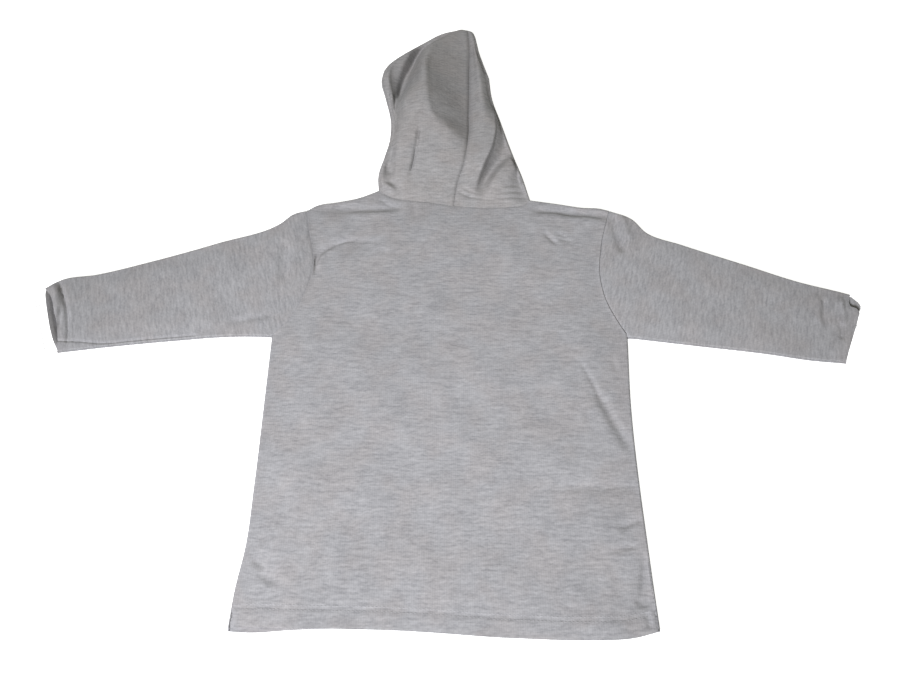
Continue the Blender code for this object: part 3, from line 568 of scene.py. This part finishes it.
def directed(line, start=None, end=None, side=1):
    """Outward directions along a line, with those at its ends given where a seam runs over the edge."""
    out = left_of(line) * side
    blend = max(2, len(line) // OUT_BLEND_PARTS)
    for given, places in ((start, range(blend)), (end, range(-1, -1 - blend, -1))):
        if given is not None:
            for step, place in enumerate(places):
                share = step / blend
                out[place] = unit((1 - share) * unit(np.array(given, float)) + share * out[place])
    return out


def extended(sheet, out, falls):
    """Adds the rows of a round edge beyond the sheet's last row. falls is 1 where the edge turns down
    round a fold and 0 where it runs flat to a seam; each point's third value is how far it has dropped."""
    edge = sheet[-1]
    rows = [
        np.column_stack([edge[:, :2] + out * reach, edge[:, 2] + falls * fall])
        for reach, fall in SEAM_EDGE
    ]
    return np.concatenate([sheet, np.stack(rows)])


def bordered(bottom, right, top, left, borders):
    """Fills an outline whose bordered sides get a round edge, and says how far each point drops there.
    borders maps a side to its outward directions and its falls."""
    inner = {}
    for name, line in {"bottom": bottom, "right": right, "top": top, "left": left}.items():
        inner[name] = line - borders[name][0] * ROLL if name in borders else line.copy()
    for side, end in (("left", 0), ("right", -1)):
        corner = (inner[side][-1] + inner["top"][end]) / 2
        inner[side][-1] = corner
        inner["top"][end] = corner
        inner["bottom"][end] = inner[side][0]
    plan = filled(inner["bottom"], inner["right"], inner["top"], inner["left"])
    sheet = with_height(plan, np.zeros(plan.shape[:2]))
    if "left" in borders:
        sheet = extended(sheet[:, ::-1].swapaxes(0, 1), *borders["left"]).swapaxes(0, 1)[:, ::-1]
    if "right" in borders:
        sheet = extended(sheet.swapaxes(0, 1), *borders["right"]).swapaxes(0, 1)
    out, falls = borders["top"]
    added = [len(SEAM_EDGE) if side in borders else 0 for side in ("left", "right")]
    sheet = extended(sheet, np.pad(out, (added, (0, 0)), mode="edge"), np.pad(falls, added, mode="edge"))
    return sheet[..., :2], sheet[..., 2]


def cut_stations(name, side):
    """The stations of one line of the cut, with its corners."""
    first, middle, last = STATIONS[side][name]
    corners = CORNERS[side]
    return [corners.get(first, first), *middle, corners.get(last, last)]


def cut_line(name, side, faces, start=0.0, end=0.0):
    """Evenly spaced points on one line of the cut, shortened by start and end."""
    return line_through(cut_stations(name, side), faces, start, end)


def on_both_sides(name, faces, start=0.0, end=0.0):
    return {side: cut_line(name, side, faces, start, end) for side in STATIONS}


ARMHOLE_FACES = cells(cut_stations("armhole", "left"), BODY_CELL)
SIDE_FACES = cells(cut_stations("side", "left"), BODY_CELL)
SHOULDER_FACES = cells(cut_stations("shoulder_line", "left"), BODY_CELL)
NECK_FACES = cells(cut_stations("neck_seam", "left"), BODY_CELL)
SLEEVE_LENGTH_FACES = cells(cut_stations("sleeve_top", "left"), SLEEVE_CELL)
SLEEVE_WIDTH_FACES = cells(cut_stations("armhole", "left"), SLEEVE_CELL)
HOOD_WIDTH_FACES = cells(cut_stations("neck_seam", "left"), HOOD_CELL)
HOOD_HEIGHT_FACES = cells(HOOD_SEAM, HOOD_CELL)
FACE_EDGE_FACES = round(HOOD_HEIGHT_FACES * FACE_EDGE_SHARE)
FRONT_LENGTH_FACES = cells([FRONT_HEM, FRONT_NECK], FRONT_CELL)
FRONT_OUTER_FACES = FRONT_LENGTH_FACES + FRONT_NECK_FACES
FRONT_SIDE_FACES = round(FRONT_OUTER_FACES * FRONT_SIDE_SHARE)


def back_surface():
    """The back, on top: it turns down to the side and shoulder seams."""
    sides = on_both_sides("side", SIDE_FACES)
    holes = on_both_sides("armhole", ARMHOLE_FACES, TURN_IN, TURN_IN)
    shoulders = on_both_sides("shoulder_line", SHOULDER_FACES, HALF, ROLL)
    necks = on_both_sides("neck_seam", NECK_FACES, 0.0, TURN_IN)
    left = chain(beside(sides["left"], -HALF), beside(holes["left"], -HALF_GAP))
    right = chain(beside(sides["right"], HALF), beside(holes["right"], HALF_GAP))
    shoulder_left = beside(shoulders["left"], HALF)[::-1]
    shoulder_right = beside(shoulders["right"], -HALF)
    neck = beside(chain(necks["left"][::-1], necks["right"]), -HALF_GAP)
    neck[0] += unit(np.array(NECK_OUT["left"])) * ROLL
    neck[-1] += unit(np.array(NECK_OUT["right"])) * ROLL
    top = np.vstack([shoulder_left[:-1], neck, shoulder_right[1:]])
    out_top = np.vstack([
        directed(shoulder_left, SHOULDER_OUT["left"])[:-1],
        directed(neck, NECK_OUT["left"], NECK_OUT["right"]),
        directed(shoulder_right, None, SHOULDER_OUT["right"])[1:],
    ])
    falls_top = np.ones(len(top))
    falls_top[len(shoulder_left):-len(shoulder_right)] = 0.0
    falls_side = np.concatenate([np.ones(SIDE_FACES + 1), np.zeros(ARMHOLE_FACES)])
    bottom = line_through(BACK_HEM, len(top) - 1)
    plan, drop = bordered(bottom, right, top, left, {
        "left": (directed(left), falls_side),
        "right": (directed(right, side=-1), falls_side),
        "top": (out_top, falls_top),
    })
    folds = np.vstack([sides["left"], shoulder_left, shoulder_right, sides["right"]])
    edges = np.vstack([
        sides["left"], holes["left"], shoulder_left, neck, shoulder_right, holes["right"], sides["right"],
    ])
    from_fold = distance_to(plan, folds[::2])
    from_edge = distance_to(plan, edges[::2])
    from_hem = distance_to(plan, bottom[::2])
    channel = groove(plan, bottom + (0.0, HEM_STITCH_LINE), "hem_channel")
    height = UPPER + smooth_step(from_edge / BODY_PUFF_WIDTH) * BODY_PUFF
    height += relief(plan, BODY_FOLDS) * smooth_step(from_fold / BODY_FOLD_FADE)
    height += waviness(plan, WAVE_HEIGHT) * smooth_step(from_edge / BODY_WAVE_FADE)
    height += hem_step(from_hem, HEM_DEPTH) * smooth_step(from_edge / HEM_FADE)
    height += channel * smooth_step(from_edge / CHANNEL_FADE)
    for side in STATIONS:
        height += groove(plan, holes[side], "back_armhole")
    height += groove(plan, neck, "back_neck")
    height = np.where(drop > 0, UPPER - drop, kept_above(height, LOWEST_UPPER))
    return with_height(plan, height)


def front_surface(side):
    """One front, flat on the floor: it turns up to its side and shoulder seams."""
    turn = TURN[side]
    seam = cut_line("side", side, FRONT_SIDE_FACES)
    hole = cut_line("armhole", side, FRONT_OUTER_FACES - FRONT_SIDE_FACES, TURN_IN, TURN_IN)
    outer = chain(beside(seam, -HALF * turn), beside(hole, -HALF_GAP * turn))
    shoulder = beside(cut_line("shoulder_line", side, FRONT_WIDTH_FACES, HALF, ROLL), HALF * turn)
    neckline = beside(cut_line("neckline", side, FRONT_NECK_FACES, 0.0, TURN_IN), HALF_GAP * turn)
    centre = line_through([FRONT_HEM, FRONT_NECK], FRONT_LENGTH_FACES)
    centre[:, 0] -= turn * FRONT_EDGE_GAP / 2
    neckline[0] = [centre[-1][0], neckline[0][1]]
    hem = cut_line("front_hem", side, FRONT_WIDTH_FACES)
    hem[0] = centre[0]
    outer[0][1] = hem[-1][1]
    falls_side = np.concatenate([np.ones(FRONT_SIDE_FACES + 1), np.zeros(len(hole) - 1)])
    out_top = directed(shoulder, NECK_OUT[side], SHOULDER_OUT[side], side=-turn)
    plan, drop = bordered(hem, outer, shoulder, chain(centre, neckline), {
        "right": (directed(outer, side=turn), falls_side),
        "top": (out_top, np.ones(len(shoulder))),
    })
    return with_height(plan, UNDER + drop)


def folded_edge(edge, out, roll, lift=0.0):
    """Rows of points round a folded edge, from the upper layer down to the under layer. lift is how far
    the upper layer lies above its usual height there."""
    roll = np.broadcast_to(roll, len(edge))
    rows = []
    for angle in FOLD_ANGLES:
        height = UNDER + roll + roll * np.cos(angle) + lift * np.cos(angle / 2)
        rows.append(with_height(edge + out * (roll * np.sin(angle))[:, None], height))
    return np.stack(rows)


def sleeve_surface(side):
    """One sleeve, a flattened tube: rings of points from the armhole to the cuff."""
    turn = TURN[side]
    top = cut_line("sleeve_top", side, SLEEVE_LENGTH_FACES, HALF_GAP)
    bottom = cut_line("sleeve_under", side, SLEEVE_LENGTH_FACES, HALF_GAP)
    top_out = directed(top, SHOULDER_OUT[side], side=-turn)
    bottom_out = directed(bottom, UNDERARM_OUT[side], side=turn)
    top_edge = top - top_out * TURN_IN
    bottom_edge = bottom - bottom_out * TURN_IN
    armhole = cut_line("armhole", side, SLEEVE_WIDTH_FACES, TURN_IN, TURN_IN)
    hole = beside(armhole, HALF_GAP * turn)
    layers = []
    for layer in ("cuff_upper", "cuff_under"):
        cuff = cut_line(layer, side, SLEEVE_WIDTH_FACES, TURN_IN, TURN_IN)
        top_edge[0], top_edge[-1] = hole[-1], cuff[-1]
        bottom_edge[0], bottom_edge[-1] = hole[0], cuff[0]
        layers.append(filled(bottom_edge, cuff, top_edge, hole))
    upper, under = layers
    from_fold = distance_to(upper, np.vstack([top, bottom]))
    from_hole = distance_to(upper, armhole)
    from_cuff = distance_to(upper, upper[:, -1])
    puff = smooth_step(from_fold / SLEEVE_PUFF_WIDTH) * smooth_step(from_hole / SLEEVE_PUFF_WIDTH)
    fold_fade = smooth_step(from_fold / SLEEVE_FOLD_FADE) * smooth_step(from_hole / ARMHOLE_FOLD_FADE)
    wave_fade = smooth_step(from_fold / SLEEVE_WAVE_FADE) * smooth_step(from_hole / SLEEVE_WAVE_FADE)
    height = UPPER + puff * SLEEVE_PUFF
    height += relief(upper, SLEEVE_FOLDS) * fold_fade
    height += waviness(upper, WAVE_HEIGHT) * wave_fade
    height += hem_step(from_cuff, CUFF_HEM_DEPTH) * smooth_step(from_fold / CUFF_HEM_FADE)
    height += groove(upper, armhole, "sleeve_armhole")
    if side in UNDERARM_SEAM:
        height += groove(upper, line_through(UNDERARM_SEAM[side], UNDERARM_SEAM_FACES), "underarm")
    upper = with_height(upper, kept_above(height, LOWEST_UPPER))
    rim = 1 - smooth_step(distance_to(under, under[:, -1]) / CUFF_RIM_WIDTH)
    rim = rim * smooth_step(distance_to(under, np.vstack([top, bottom])) / CUFF_RIM_FADE)
    under = with_height(under, UNDER + CUFF_RIM_RISE[side] * rim)
    over_top = folded_edge(upper[-1, :, :2], top_out, ROLL, upper[-1, :, 2] - UPPER)
    over_bottom = folded_edge(under[0, :, :2], bottom_out, ROLL, upper[0, :, 2] - UPPER)
    return np.concatenate([upper, over_top, under[::-1], over_bottom[::-1]])


def hood_outline(side):
    """The hood's folded edge on one side: up from the neck, and from the crown to the top corner."""
    fold = cut_line("hood_fold", side, HOOD_HEIGHT_FACES, HALF_GAP)
    crown = cut_line("hood_crown", side, HOOD_WIDTH_FACES)
    return fold, crown


HOOD_EDGE = np.vstack([*hood_outline("left"), *hood_outline("right")])
NECK_LINE = np.vstack([cut_line("neck_seam", side, NECK_LINE_FACES) for side in STATIONS])
CENTRE_SEAM = line_through(HOOD_SEAM, CENTRE_SEAM_FACES)


def hood_roll(plan):
    """Half the hood's height at its folded edge: flat at the neck and the crown, soft between them."""
    from_neck = distance_to(plan, NECK_LINE)
    from_crown = np.linalg.norm(plan - metres(CROWN), axis=-1)
    growth = smooth_step(from_neck / HOOD_ROLL_GROWTH)
    growth = growth * smooth_step((from_crown - CROWN_FLAT) / CROWN_ROLL_GROWTH)
    roll = np.full(from_neck.shape, HOOD_ROLL - ROLL)
    for x, y, swell, reach in metres(HOOD_BULGES):
        away = np.linalg.norm(plan - np.array((x, y)), axis=-1)
        roll += swell * np.exp(-((away / reach) ** 2))
    return ROLL + roll * growth


def hood_height(plan):
    """Height of the hood's upper layer, the same for both panels."""
    roll = hood_roll(plan)
    inside = distance_to(plan, HOOD_EDGE) - roll + HOOD_EDGE_OVERLAP
    edge = UNDER + 2 * roll
    form = lofted(plan, HOOD_LINES) + relief(plan, HOOD_FOLDS) + waviness(plan, HOOD_WAVE_HEIGHT)
    height = edge + (form - edge) * smooth_step(inside / HOOD_EDGE_BLEND)
    rise = smooth_step(distance_to(plan, NECK_LINE) / HOOD_NECK_BLEND)
    height = height * rise + UPPER * (1 - rise)
    height += groove(plan, CENTRE_SEAM, "hood_centre") + groove(plan, NECK_LINE, "hood_neck")
    return kept_above(height, LOWEST_UPPER)


def hood_surfaces(side):
    """One hood panel: its upper layer, its under layer and the round edge that joins them."""
    turn = TURN[side]
    fold, crown = hood_outline(side)
    corner = len(fold) - 1
    outline = chain(fold, crown[::-1])
    roll = hood_roll(outline)
    out = directed(outline, NECK_OUT[side], CROWN_OUT, side=turn)
    edge = outline - out * (HALF + roll)[:, None]
    edge[-1][0] -= turn * HALF_GAP
    side_edge, crown_edge = edge[: corner + 1], edge[corner:][::-1]
    neck = beside(cut_line("neck_seam", side, HOOD_WIDTH_FACES, 0.0, TURN_IN), -HALF_GAP * turn)
    neckline = beside(cut_line("neckline", side, HOOD_WIDTH_FACES, 0.0, TURN_IN), -HALF_GAP * turn)
    seam = beside(line_through(HOOD_SEAM, HOOD_HEIGHT_FACES, 0.0, TURN_IN), HALF_GAP * turn)
    face = cut_line("face_edge", side, FACE_EDGE_FACES)
    face[:, 0] -= turn * FRONT_EDGE_GAP / 2
    below = line_through(CROWN_SEAM_BELOW, HOOD_HEIGHT_FACES - FACE_EDGE_FACES, 0.0, TURN_IN)
    inner = chain(face, beside(below, HALF_GAP * turn))
    seam[-1] = inner[-1] = crown_edge[0]
    neck[0], neckline[0] = seam[0], inner[0]
    neck[-1] = neckline[-1] = side_edge[0]
    upper_plan = filled(neck, side_edge, crown_edge, seam)
    under_plan = filled(neckline, side_edge, crown_edge, inner)
    height = hood_height(upper_plan)
    height[:, -1] = UNDER + 2 * roll[: corner + 1]
    height[-1] = UNDER + 2 * roll[corner:][::-1]
    upper = with_height(upper_plan, height)
    under = with_height(under_plan, np.full(under_plan.shape[:2], UNDER))
    rims = [np.vstack([layer[:-1, -1], layer[-1, ::-1]])[None] for layer in (upper, under)]
    return [upper, under, np.concatenate([rims[0], folded_edge(edge, out, roll), rims[1]])]


def cloth_mesh(name, grids, closed=False):
    """One mesh from grids of points, welded where the grids meet."""
    cloth = bmesh.new()
    for grid in grids:
        rows = [[cloth.verts.new(point) for point in row] for row in grid]
        if closed:
            rows.append(rows[0])
        for low, high in zip(rows, rows[1:]):
            for i in range(len(low) - 1):
                cloth.faces.new((low[i], low[i + 1], high[i + 1], high[i]))
    bmesh.ops.remove_doubles(cloth, verts=cloth.verts, dist=WELD_REACH)
    bmesh.ops.recalc_face_normals(cloth, faces=cloth.faces)
    bmesh.ops.translate(cloth, verts=cloth.verts, vec=(*DRAFT_ZERO, 0.0))
    mesh = bpy.data.meshes.new(name)
    cloth.to_mesh(mesh)
    cloth.free()
    mesh.shade_smooth()
    return mesh


def thicken(piece):
    """Gives the cloth its thickness, with crisp cut edges."""
    wall = piece.modifiers.new("jersey_thickness", "SOLIDIFY")
    wall.thickness = JERSEY_THICKNESS
    wall.offset = 0.0
    shaped = piece.evaluated_get(bpy.context.evaluated_depsgraph_get())
    surface = piece.data
    piece.data = bpy.data.meshes.new_from_object(shaped)
    piece.modifiers.clear()
    bpy.data.meshes.remove(surface)
    piece.data.set_sharp_from_angle(angle=SHARP_EDGE)


def srgb(code):
    """Linear colour of an sRGB hex value."""
    parts = [int(code[i:i + 2], 16) / 255 for i in (1, 3, 5)]
    return (*[p / 12.92 if p <= 0.04045 else ((p + 0.055) / 1.055) ** 2.4 for p in parts], 1.0)


def feed(owner, node_name, sockets):
    """Sets inputs of a node. sockets maps an input's name or number to a value, or to the output that
    feeds it."""
    tree = owner.node_tree
    for key, value in sockets.items():
        socket = tree.nodes[node_name].inputs[key]
        if isinstance(value, bpy.types.NodeSocket):
            tree.links.new(value, socket)
        else:
            socket.default_value = value


def add_node(material, kind, output, sockets, **settings):
    """Adds a shader node with its inputs and its own settings, and returns one of its outputs. A colour
    Mix takes its two colours at inputs 6 and 7 and gives the mixed one at output 2."""
    node = material.node_tree.nodes.new("ShaderNode" + kind)
    for name, value in settings.items():
        setattr(node, name, value)
    feed(material, node.name, sockets)
    return node.outputs[output]


def new_material(name):
    material = bpy.data.materials.new(name)
    material.use_nodes = True
    return material


# The marl, each part as the size of its blots and the detail of its noise: a dash is about 11 mm long and
# 2.2 mm across, a fleck 2.6 by 1.5 mm, and the clouds and warm patches of the yarn are 35 and 28 mm wide
MARL = {
    "dashes": ((0.0110, 0.0022, 0.0040), 1.5),
    "flecks": ((0.0026, 0.0015, 0.0020), 1.0),
    "clouds": ((0.035, 0.035, 0.035), 2.0),
    "patches": ((0.028, 0.028, 0.028), 3.0),
}
FLECK_STRENGTH = 0.70
CLOUD_STRENGTH = 0.28
# The wales, the columns of loops up the cloth, are 0.8 mm apart, too fine to show, so they are drawn
# 1.8 mm apart. A wave texture's length is 0.314 over its scale
WALE_SCALE = 0.314 / 0.0018
WALE_STRENGTH = 0.35
LIGHT_YARN = "#A7A7AB"
DARK_YARN = "#858589"
# The hood is the same cloth, but its yarns are painted a little darker and warmer than the body's: painted
# shade on the hood
HOOD_LIGHT_YARN_PAINTED_SHADE = "#A4A3A5"
HOOD_DARK_YARN_PAINTED_SHADE = "#838284"
WARM_TINGE = "#FFFCFA"


def marl_jersey(name, turn_degrees, light, dark):
    """Cotton marl jersey, knitted from a yarn of light and dark fibres: the eye sees thin dashes along
    the courses, soft clouds where the yarn runs lighter, and a matt, faintly fuzzy surface."""
    material = new_material(name)
    place = add_node(material, "TexCoord", "Object", {})
    turn = (0.0, 0.0, np.radians(turn_degrees))
    turned = add_node(material, "Mapping", "Vector", {"Vector": place, "Rotation": turn})
    parts = []
    for size, detail in MARL.values():
        scale = [1 / length for length in size]
        scaled = add_node(material, "Mapping", "Vector", {"Vector": turned, "Scale": scale})
        noise = {"Vector": scaled, "Scale": 1.0, "Detail": detail}
        parts.append(add_node(material, "TexNoise", "Fac", noise))
    dashes, flecks, clouds, patches = parts
    yarn = add_node(material, "Math", 0, {0: flecks, 1: FLECK_STRENGTH, 2: dashes}, operation="MULTIPLY_ADD")
    cloudy = add_node(material, "Math", 0, {0: clouds, 1: CLOUD_STRENGTH, 2: yarn}, operation="MULTIPLY_ADD")
    share = add_node(material, "MapRange", "Result", {"Value": cloudy, "From Min": 0.62, "From Max": 1.36})
    grey = add_node(material, "Mix", 2, {0: share, 6: srgb(dark), 7: srgb(light)}, data_type="RGBA")
    warmth = add_node(material, "MapRange", "Result", {"Value": patches, "From Min": 0.42, "From Max": 0.62})
    tinge = {0: warmth, 6: grey, 7: srgb(WARM_TINGE)}
    colour = add_node(material, "Mix", 2, tinge, data_type="RGBA", blend_type="MULTIPLY")
    # Painted shade: the colour is darkened where the surface tilts steeply from level, at turned-down edges
    # and on steep slopes
    normal = add_node(material, "NewGeometry", "Normal", {})
    level = add_node(material, "SeparateXYZ", "Z", {0: normal})
    tilt = add_node(material, "Math", 0, {0: level}, operation="ABSOLUTE")
    painted_edge_shade = add_node(material, "MapRange", "Result", {
        "Value": tilt, "From Min": 0.70, "From Max": 0.99, "To Min": 0.55, "To Max": 1.0,
    })
    shade = {0: 1.0, 6: colour, 7: painted_edge_shade}
    colour = add_node(material, "Mix", 2, shade, data_type="RGBA", blend_type="MULTIPLY")
    wales = add_node(material, "TexWave", "Fac", {
        "Vector": turned, "Scale": WALE_SCALE, "Distortion": 1.2, "Detail": 1.0, "Detail Scale": 1.5,
    }, bands_direction="X")
    loops = add_node(material, "Math", 0, {0: wales, 1: WALE_STRENGTH, 2: yarn}, operation="MULTIPLY_ADD")
    bump = add_node(material, "Bump", "Normal", {"Strength": 0.25, "Distance": 0.0004, "Height": loops})
    # Loose fibre ends make the dark flecks a little rougher than the pale ones
    fuzz = add_node(material, "MapRange", "Result", {
        "Value": flecks, "From Min": 0.3, "From Max": 0.7, "To Min": 0.97, "To Max": 0.86,
    })
    feed(material, "Principled BSDF", {
        "Base Color": colour, "Roughness": fuzz, "Normal": bump, "IOR": 1.5,
        "Specular IOR Level": 0.25, "Sheen Weight": 0.15, "Sheen Roughness": 0.6,
    })
    return material


# The thread's own twist is 0.3 mm long, too fine to show, so it is drawn 1.2 mm long
THREAD_TWIST = 0.0012
THREAD_LIGHT = "#A2A2A6"
THREAD_DARK = "#8C8C90"


def sewing_thread(name):
    """Spun polyester thread in the jersey's grey: matt, with a slight glint and uneven yarn."""
    material = new_material(name)
    place = add_node(material, "TexCoord", "Object", {})
    twist = add_node(material, "TexNoise", "Fac", {"Vector": place, "Scale": 1 / THREAD_TWIST, "Detail": 1.0})
    yarns = {0: twist, 6: srgb(THREAD_DARK), 7: srgb(THREAD_LIGHT)}
    colour = add_node(material, "Mix", 2, yarns, data_type="RGBA")
    bump = add_node(material, "Bump", "Normal", {"Strength": 0.4, "Distance": 0.0001, "Height": twist})
    glint = add_node(material, "MapRange", "Result", {"Value": twist, "To Min": 0.7, "To Max": 0.5})
    feed(material, "Principled BSDF", {
        "Base Color": colour, "Roughness": glint, "Normal": bump, "IOR": 1.5, "Specular IOR Level": 0.4,
    })
    return material


JERSEY = {
    "back": marl_jersey("marl_jersey_body", 0.0, LIGHT_YARN, DARK_YARN),
    "front": marl_jersey("marl_jersey_fronts", 0.0, LIGHT_YARN, DARK_YARN),
    "sleeve_left": marl_jersey("marl_jersey_left_sleeve", 76.0, LIGHT_YARN, DARK_YARN),
    "sleeve_right": marl_jersey("marl_jersey_right_sleeve", -76.0, LIGHT_YARN, DARK_YARN),
    # The hood's copy of the jersey has darker, warmer yarns: painted shade
    "hood": marl_jersey("marl_jersey_hood_painted_shade", 0.0, HOOD_LIGHT_YARN_PAINTED_SHADE, HOOD_DARK_YARN_PAINTED_SHADE),
}


def add_object(name, data):
    """Puts a mesh, a lamp or a camera into the scene."""
    added = bpy.data.objects.new(name, data)
    bpy.context.scene.collection.objects.link(added)
    return added


def add_cloth(node, grids, material, closed=False):
    """A piece of cloth on the form of its solid, declared to the frame."""
    name = node + "_cloth"
    piece = add_object(name, cloth_mesh(name, grids, closed))
    piece.data.materials.append(material)
    thicken(piece)
    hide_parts(node)
    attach(piece, "root")
    return piece


# The hems are sewn down with a twin needle: two rows of stitches beside each other
STITCH_PITCH = 0.0030
STITCH_LENGTH = 0.0024
STITCH_WIDTH = 0.0005
STITCH_RISE = 0.00016
# A stitch's arch, as places along it and how high it stands there, and the angles round its thread
STITCH_PROFILE = ((0.0, 0.0), (0.2, 0.8), (0.5, 1.0), (0.8, 0.8), (1.0, 0.0))
STITCH_ANGLES = np.radians((0.0, 45.0, 90.0, 135.0, 180.0))
NEEDLE_GAP = 0.0036
HEM_STITCH_ROWS = (HEM_STITCH_LINE - NEEDLE_GAP / 2, HEM_STITCH_LINE + NEEDLE_GAP / 2)
HEM_STITCH_INSET = 0.003
HEM_LINE_FACES = 200
CUFF_STITCH_ROWS = (0.0085, 0.0115)
CUFF_STITCH_INSET = 0.004
CUFF_LINE_FACES = 60
ABOVE_THE_CLOTH = 0.06


def stitch_points(cloth, start, end):
    """One stitch: an arch of thread that comes out of the cloth at start and goes back in at end."""
    along = unit(end - start)
    aside = np.array([-along[1], along[0]])
    rows = []
    for share, lift in STITCH_PROFILE:
        spot = start + (end - start) * share
        ground = cloth.ray_cast((*spot, ABOVE_THE_CLOTH), (0.0, 0.0, -1.0))[1]
        for angle in STITCH_ANGLES:
            x, y = spot + aside * STITCH_WIDTH / 2 * np.cos(angle)
            rows.append((x, y, ground[2] + STITCH_RISE * (lift * (1 + np.sin(angle)) - 1)))
    return rows


def add_stitches(name, cloth, lines, material):
    """Rows of separate stitches that follow lines on the cloth."""
    points, faces = [], []
    across = len(STITCH_ANGLES)
    for line in lines:
        at = running_length(line)
        placed = line + np.array(DRAFT_ZERO)
        for begin in np.arange(0.0, at[-1] - STITCH_LENGTH, STITCH_PITCH):
            ends = (begin, begin + STITCH_LENGTH)
            start, end = (np.array([np.interp(s, at, placed[:, k]) for k in (0, 1)]) for s in ends)
            first = len(points)
            points += stitch_points(cloth, start, end)
            for row in range(len(STITCH_PROFILE) - 1):
                for k in range(across - 1):
                    corner = first + row * across + k
                    faces.append((corner, corner + 1, corner + across + 1, corner + across))
    mesh = bpy.data.meshes.new(name)
    mesh.from_pydata(points, [], faces)
    mesh.shade_smooth()
    mesh.materials.append(material)
    stitches = add_object(name, mesh)
    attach(stitches, "root")
    return stitches


THREAD = sewing_thread("grey_polyester_thread")
back = add_cloth("back", [back_surface()], JERSEY["back"])
hem = line_through(BACK_HEM, HEM_LINE_FACES, HEM_STITCH_INSET, HEM_STITCH_INSET)
add_stitches("hem_stitches", back, [hem + (0.0, rise) for rise in HEM_STITCH_ROWS], THREAD)
for side in STATIONS:
    add_cloth("front_" + side, [front_surface(side)], JERSEY["front"])
    sleeve = add_cloth("sleeve_" + side, [sleeve_surface(side)], JERSEY["sleeve_" + side], True)
    add_cloth("hood_" + side, hood_surfaces(side), JERSEY["hood"])
    cuff_ends = [CORNERS[side]["cuff_end"], CORNERS[side]["cuff_top"]]
    cuff = line_through(cuff_ends, CUFF_LINE_FACES, CUFF_STITCH_INSET, CUFF_STITCH_INSET)
    rows = [beside(cuff, inward * TURN[side]) for inward in CUFF_STITCH_ROWS]
    add_stitches("cuff_stitches_" + side, sleeve, rows, THREAD)


FLOOR_SIZE = 8.0
FLOOR_GAP = 0.0002


def add_floor():
    """A plain table top of white laminate, just under the cloth."""
    bpy.ops.mesh.primitive_plane_add(size=FLOOR_SIZE, location=(0.0, 0.0, -FLOOR_GAP))
    floor = bpy.context.object
    floor.name = "floor"
    material = new_material("white_table_laminate")
    feed(material, "Principled BSDF", {
        "Base Color": srgb("#FAFAFA"), "Roughness": 0.8, "Specular IOR Level": 0.1,
        "Emission Color": srgb("#FFFFFF"), "Emission Strength": 0.85,
    })
    floor.data.materials.append(material)


# A spot lamp in front of the hem and to the left, whose soft cone fades towards the hood, and even light
# from all round
LAMP_PLACE = (-1.28, -2.76, 1.85)
LAMP_AIM = (-0.10, -0.33, 0.0)
LAMP_RADIUS = 0.35
LAMP_CONE = np.radians(25.5)
LAMP_POWER = 1000.0
LAMP_COLOUR = (1.0, 1.0, 1.03)
ROOM_COLOUR = (1.0, 0.98, 0.80, 1.0)
ROOM_STRENGTH = 0.205


def add_lamp():
    lamp = bpy.data.lights.new("soft_lamp", "SPOT")
    lamp.shadow_soft_size = LAMP_RADIUS
    lamp.spot_size = LAMP_CONE
    lamp.spot_blend = 1.0
    lamp.energy = LAMP_POWER
    lamp.color = LAMP_COLOUR
    light = add_object("soft_lamp", lamp)
    light.location = LAMP_PLACE
    light.rotation_euler = (Vector(LAMP_AIM) - Vector(LAMP_PLACE)).to_track_quat("-Z", "Y").to_euler()


def add_room_light():
    world = bpy.context.scene.world or bpy.data.worlds.new("studio")
    bpy.context.scene.world = world
    world.use_nodes = True
    feed(world, "Background", {"Color": ROOM_COLOUR, "Strength": ROOM_STRENGTH})


# The photograph's view: how steeply the camera looks down, and how far it is from the drafting zero
CAMERA_RISE = np.radians(57.0)
CAMERA_REACH = 0.808
LENS_MM = 35.0
SENSOR_MM = 36.0


def add_camera():
    camera = add_object("camera", bpy.data.cameras.new("camera"))
    camera.data.lens = LENS_MM
    camera.data.sensor_width = SENSOR_MM
    back_off = CAMERA_REACH * np.cos(CAMERA_RISE)
    camera.location = (DRAFT_ZERO[0], DRAFT_ZERO[1] - back_off, CAMERA_REACH * np.sin(CAMERA_RISE))
    camera.rotation_euler = (np.pi / 2 - CAMERA_RISE, 0.0, 0.0)
    bpy.context.scene.camera = camera


add_floor()
add_camera()
add_lamp()
add_room_light()
bpy.context.scene.view_settings.view_transform = "Standard"
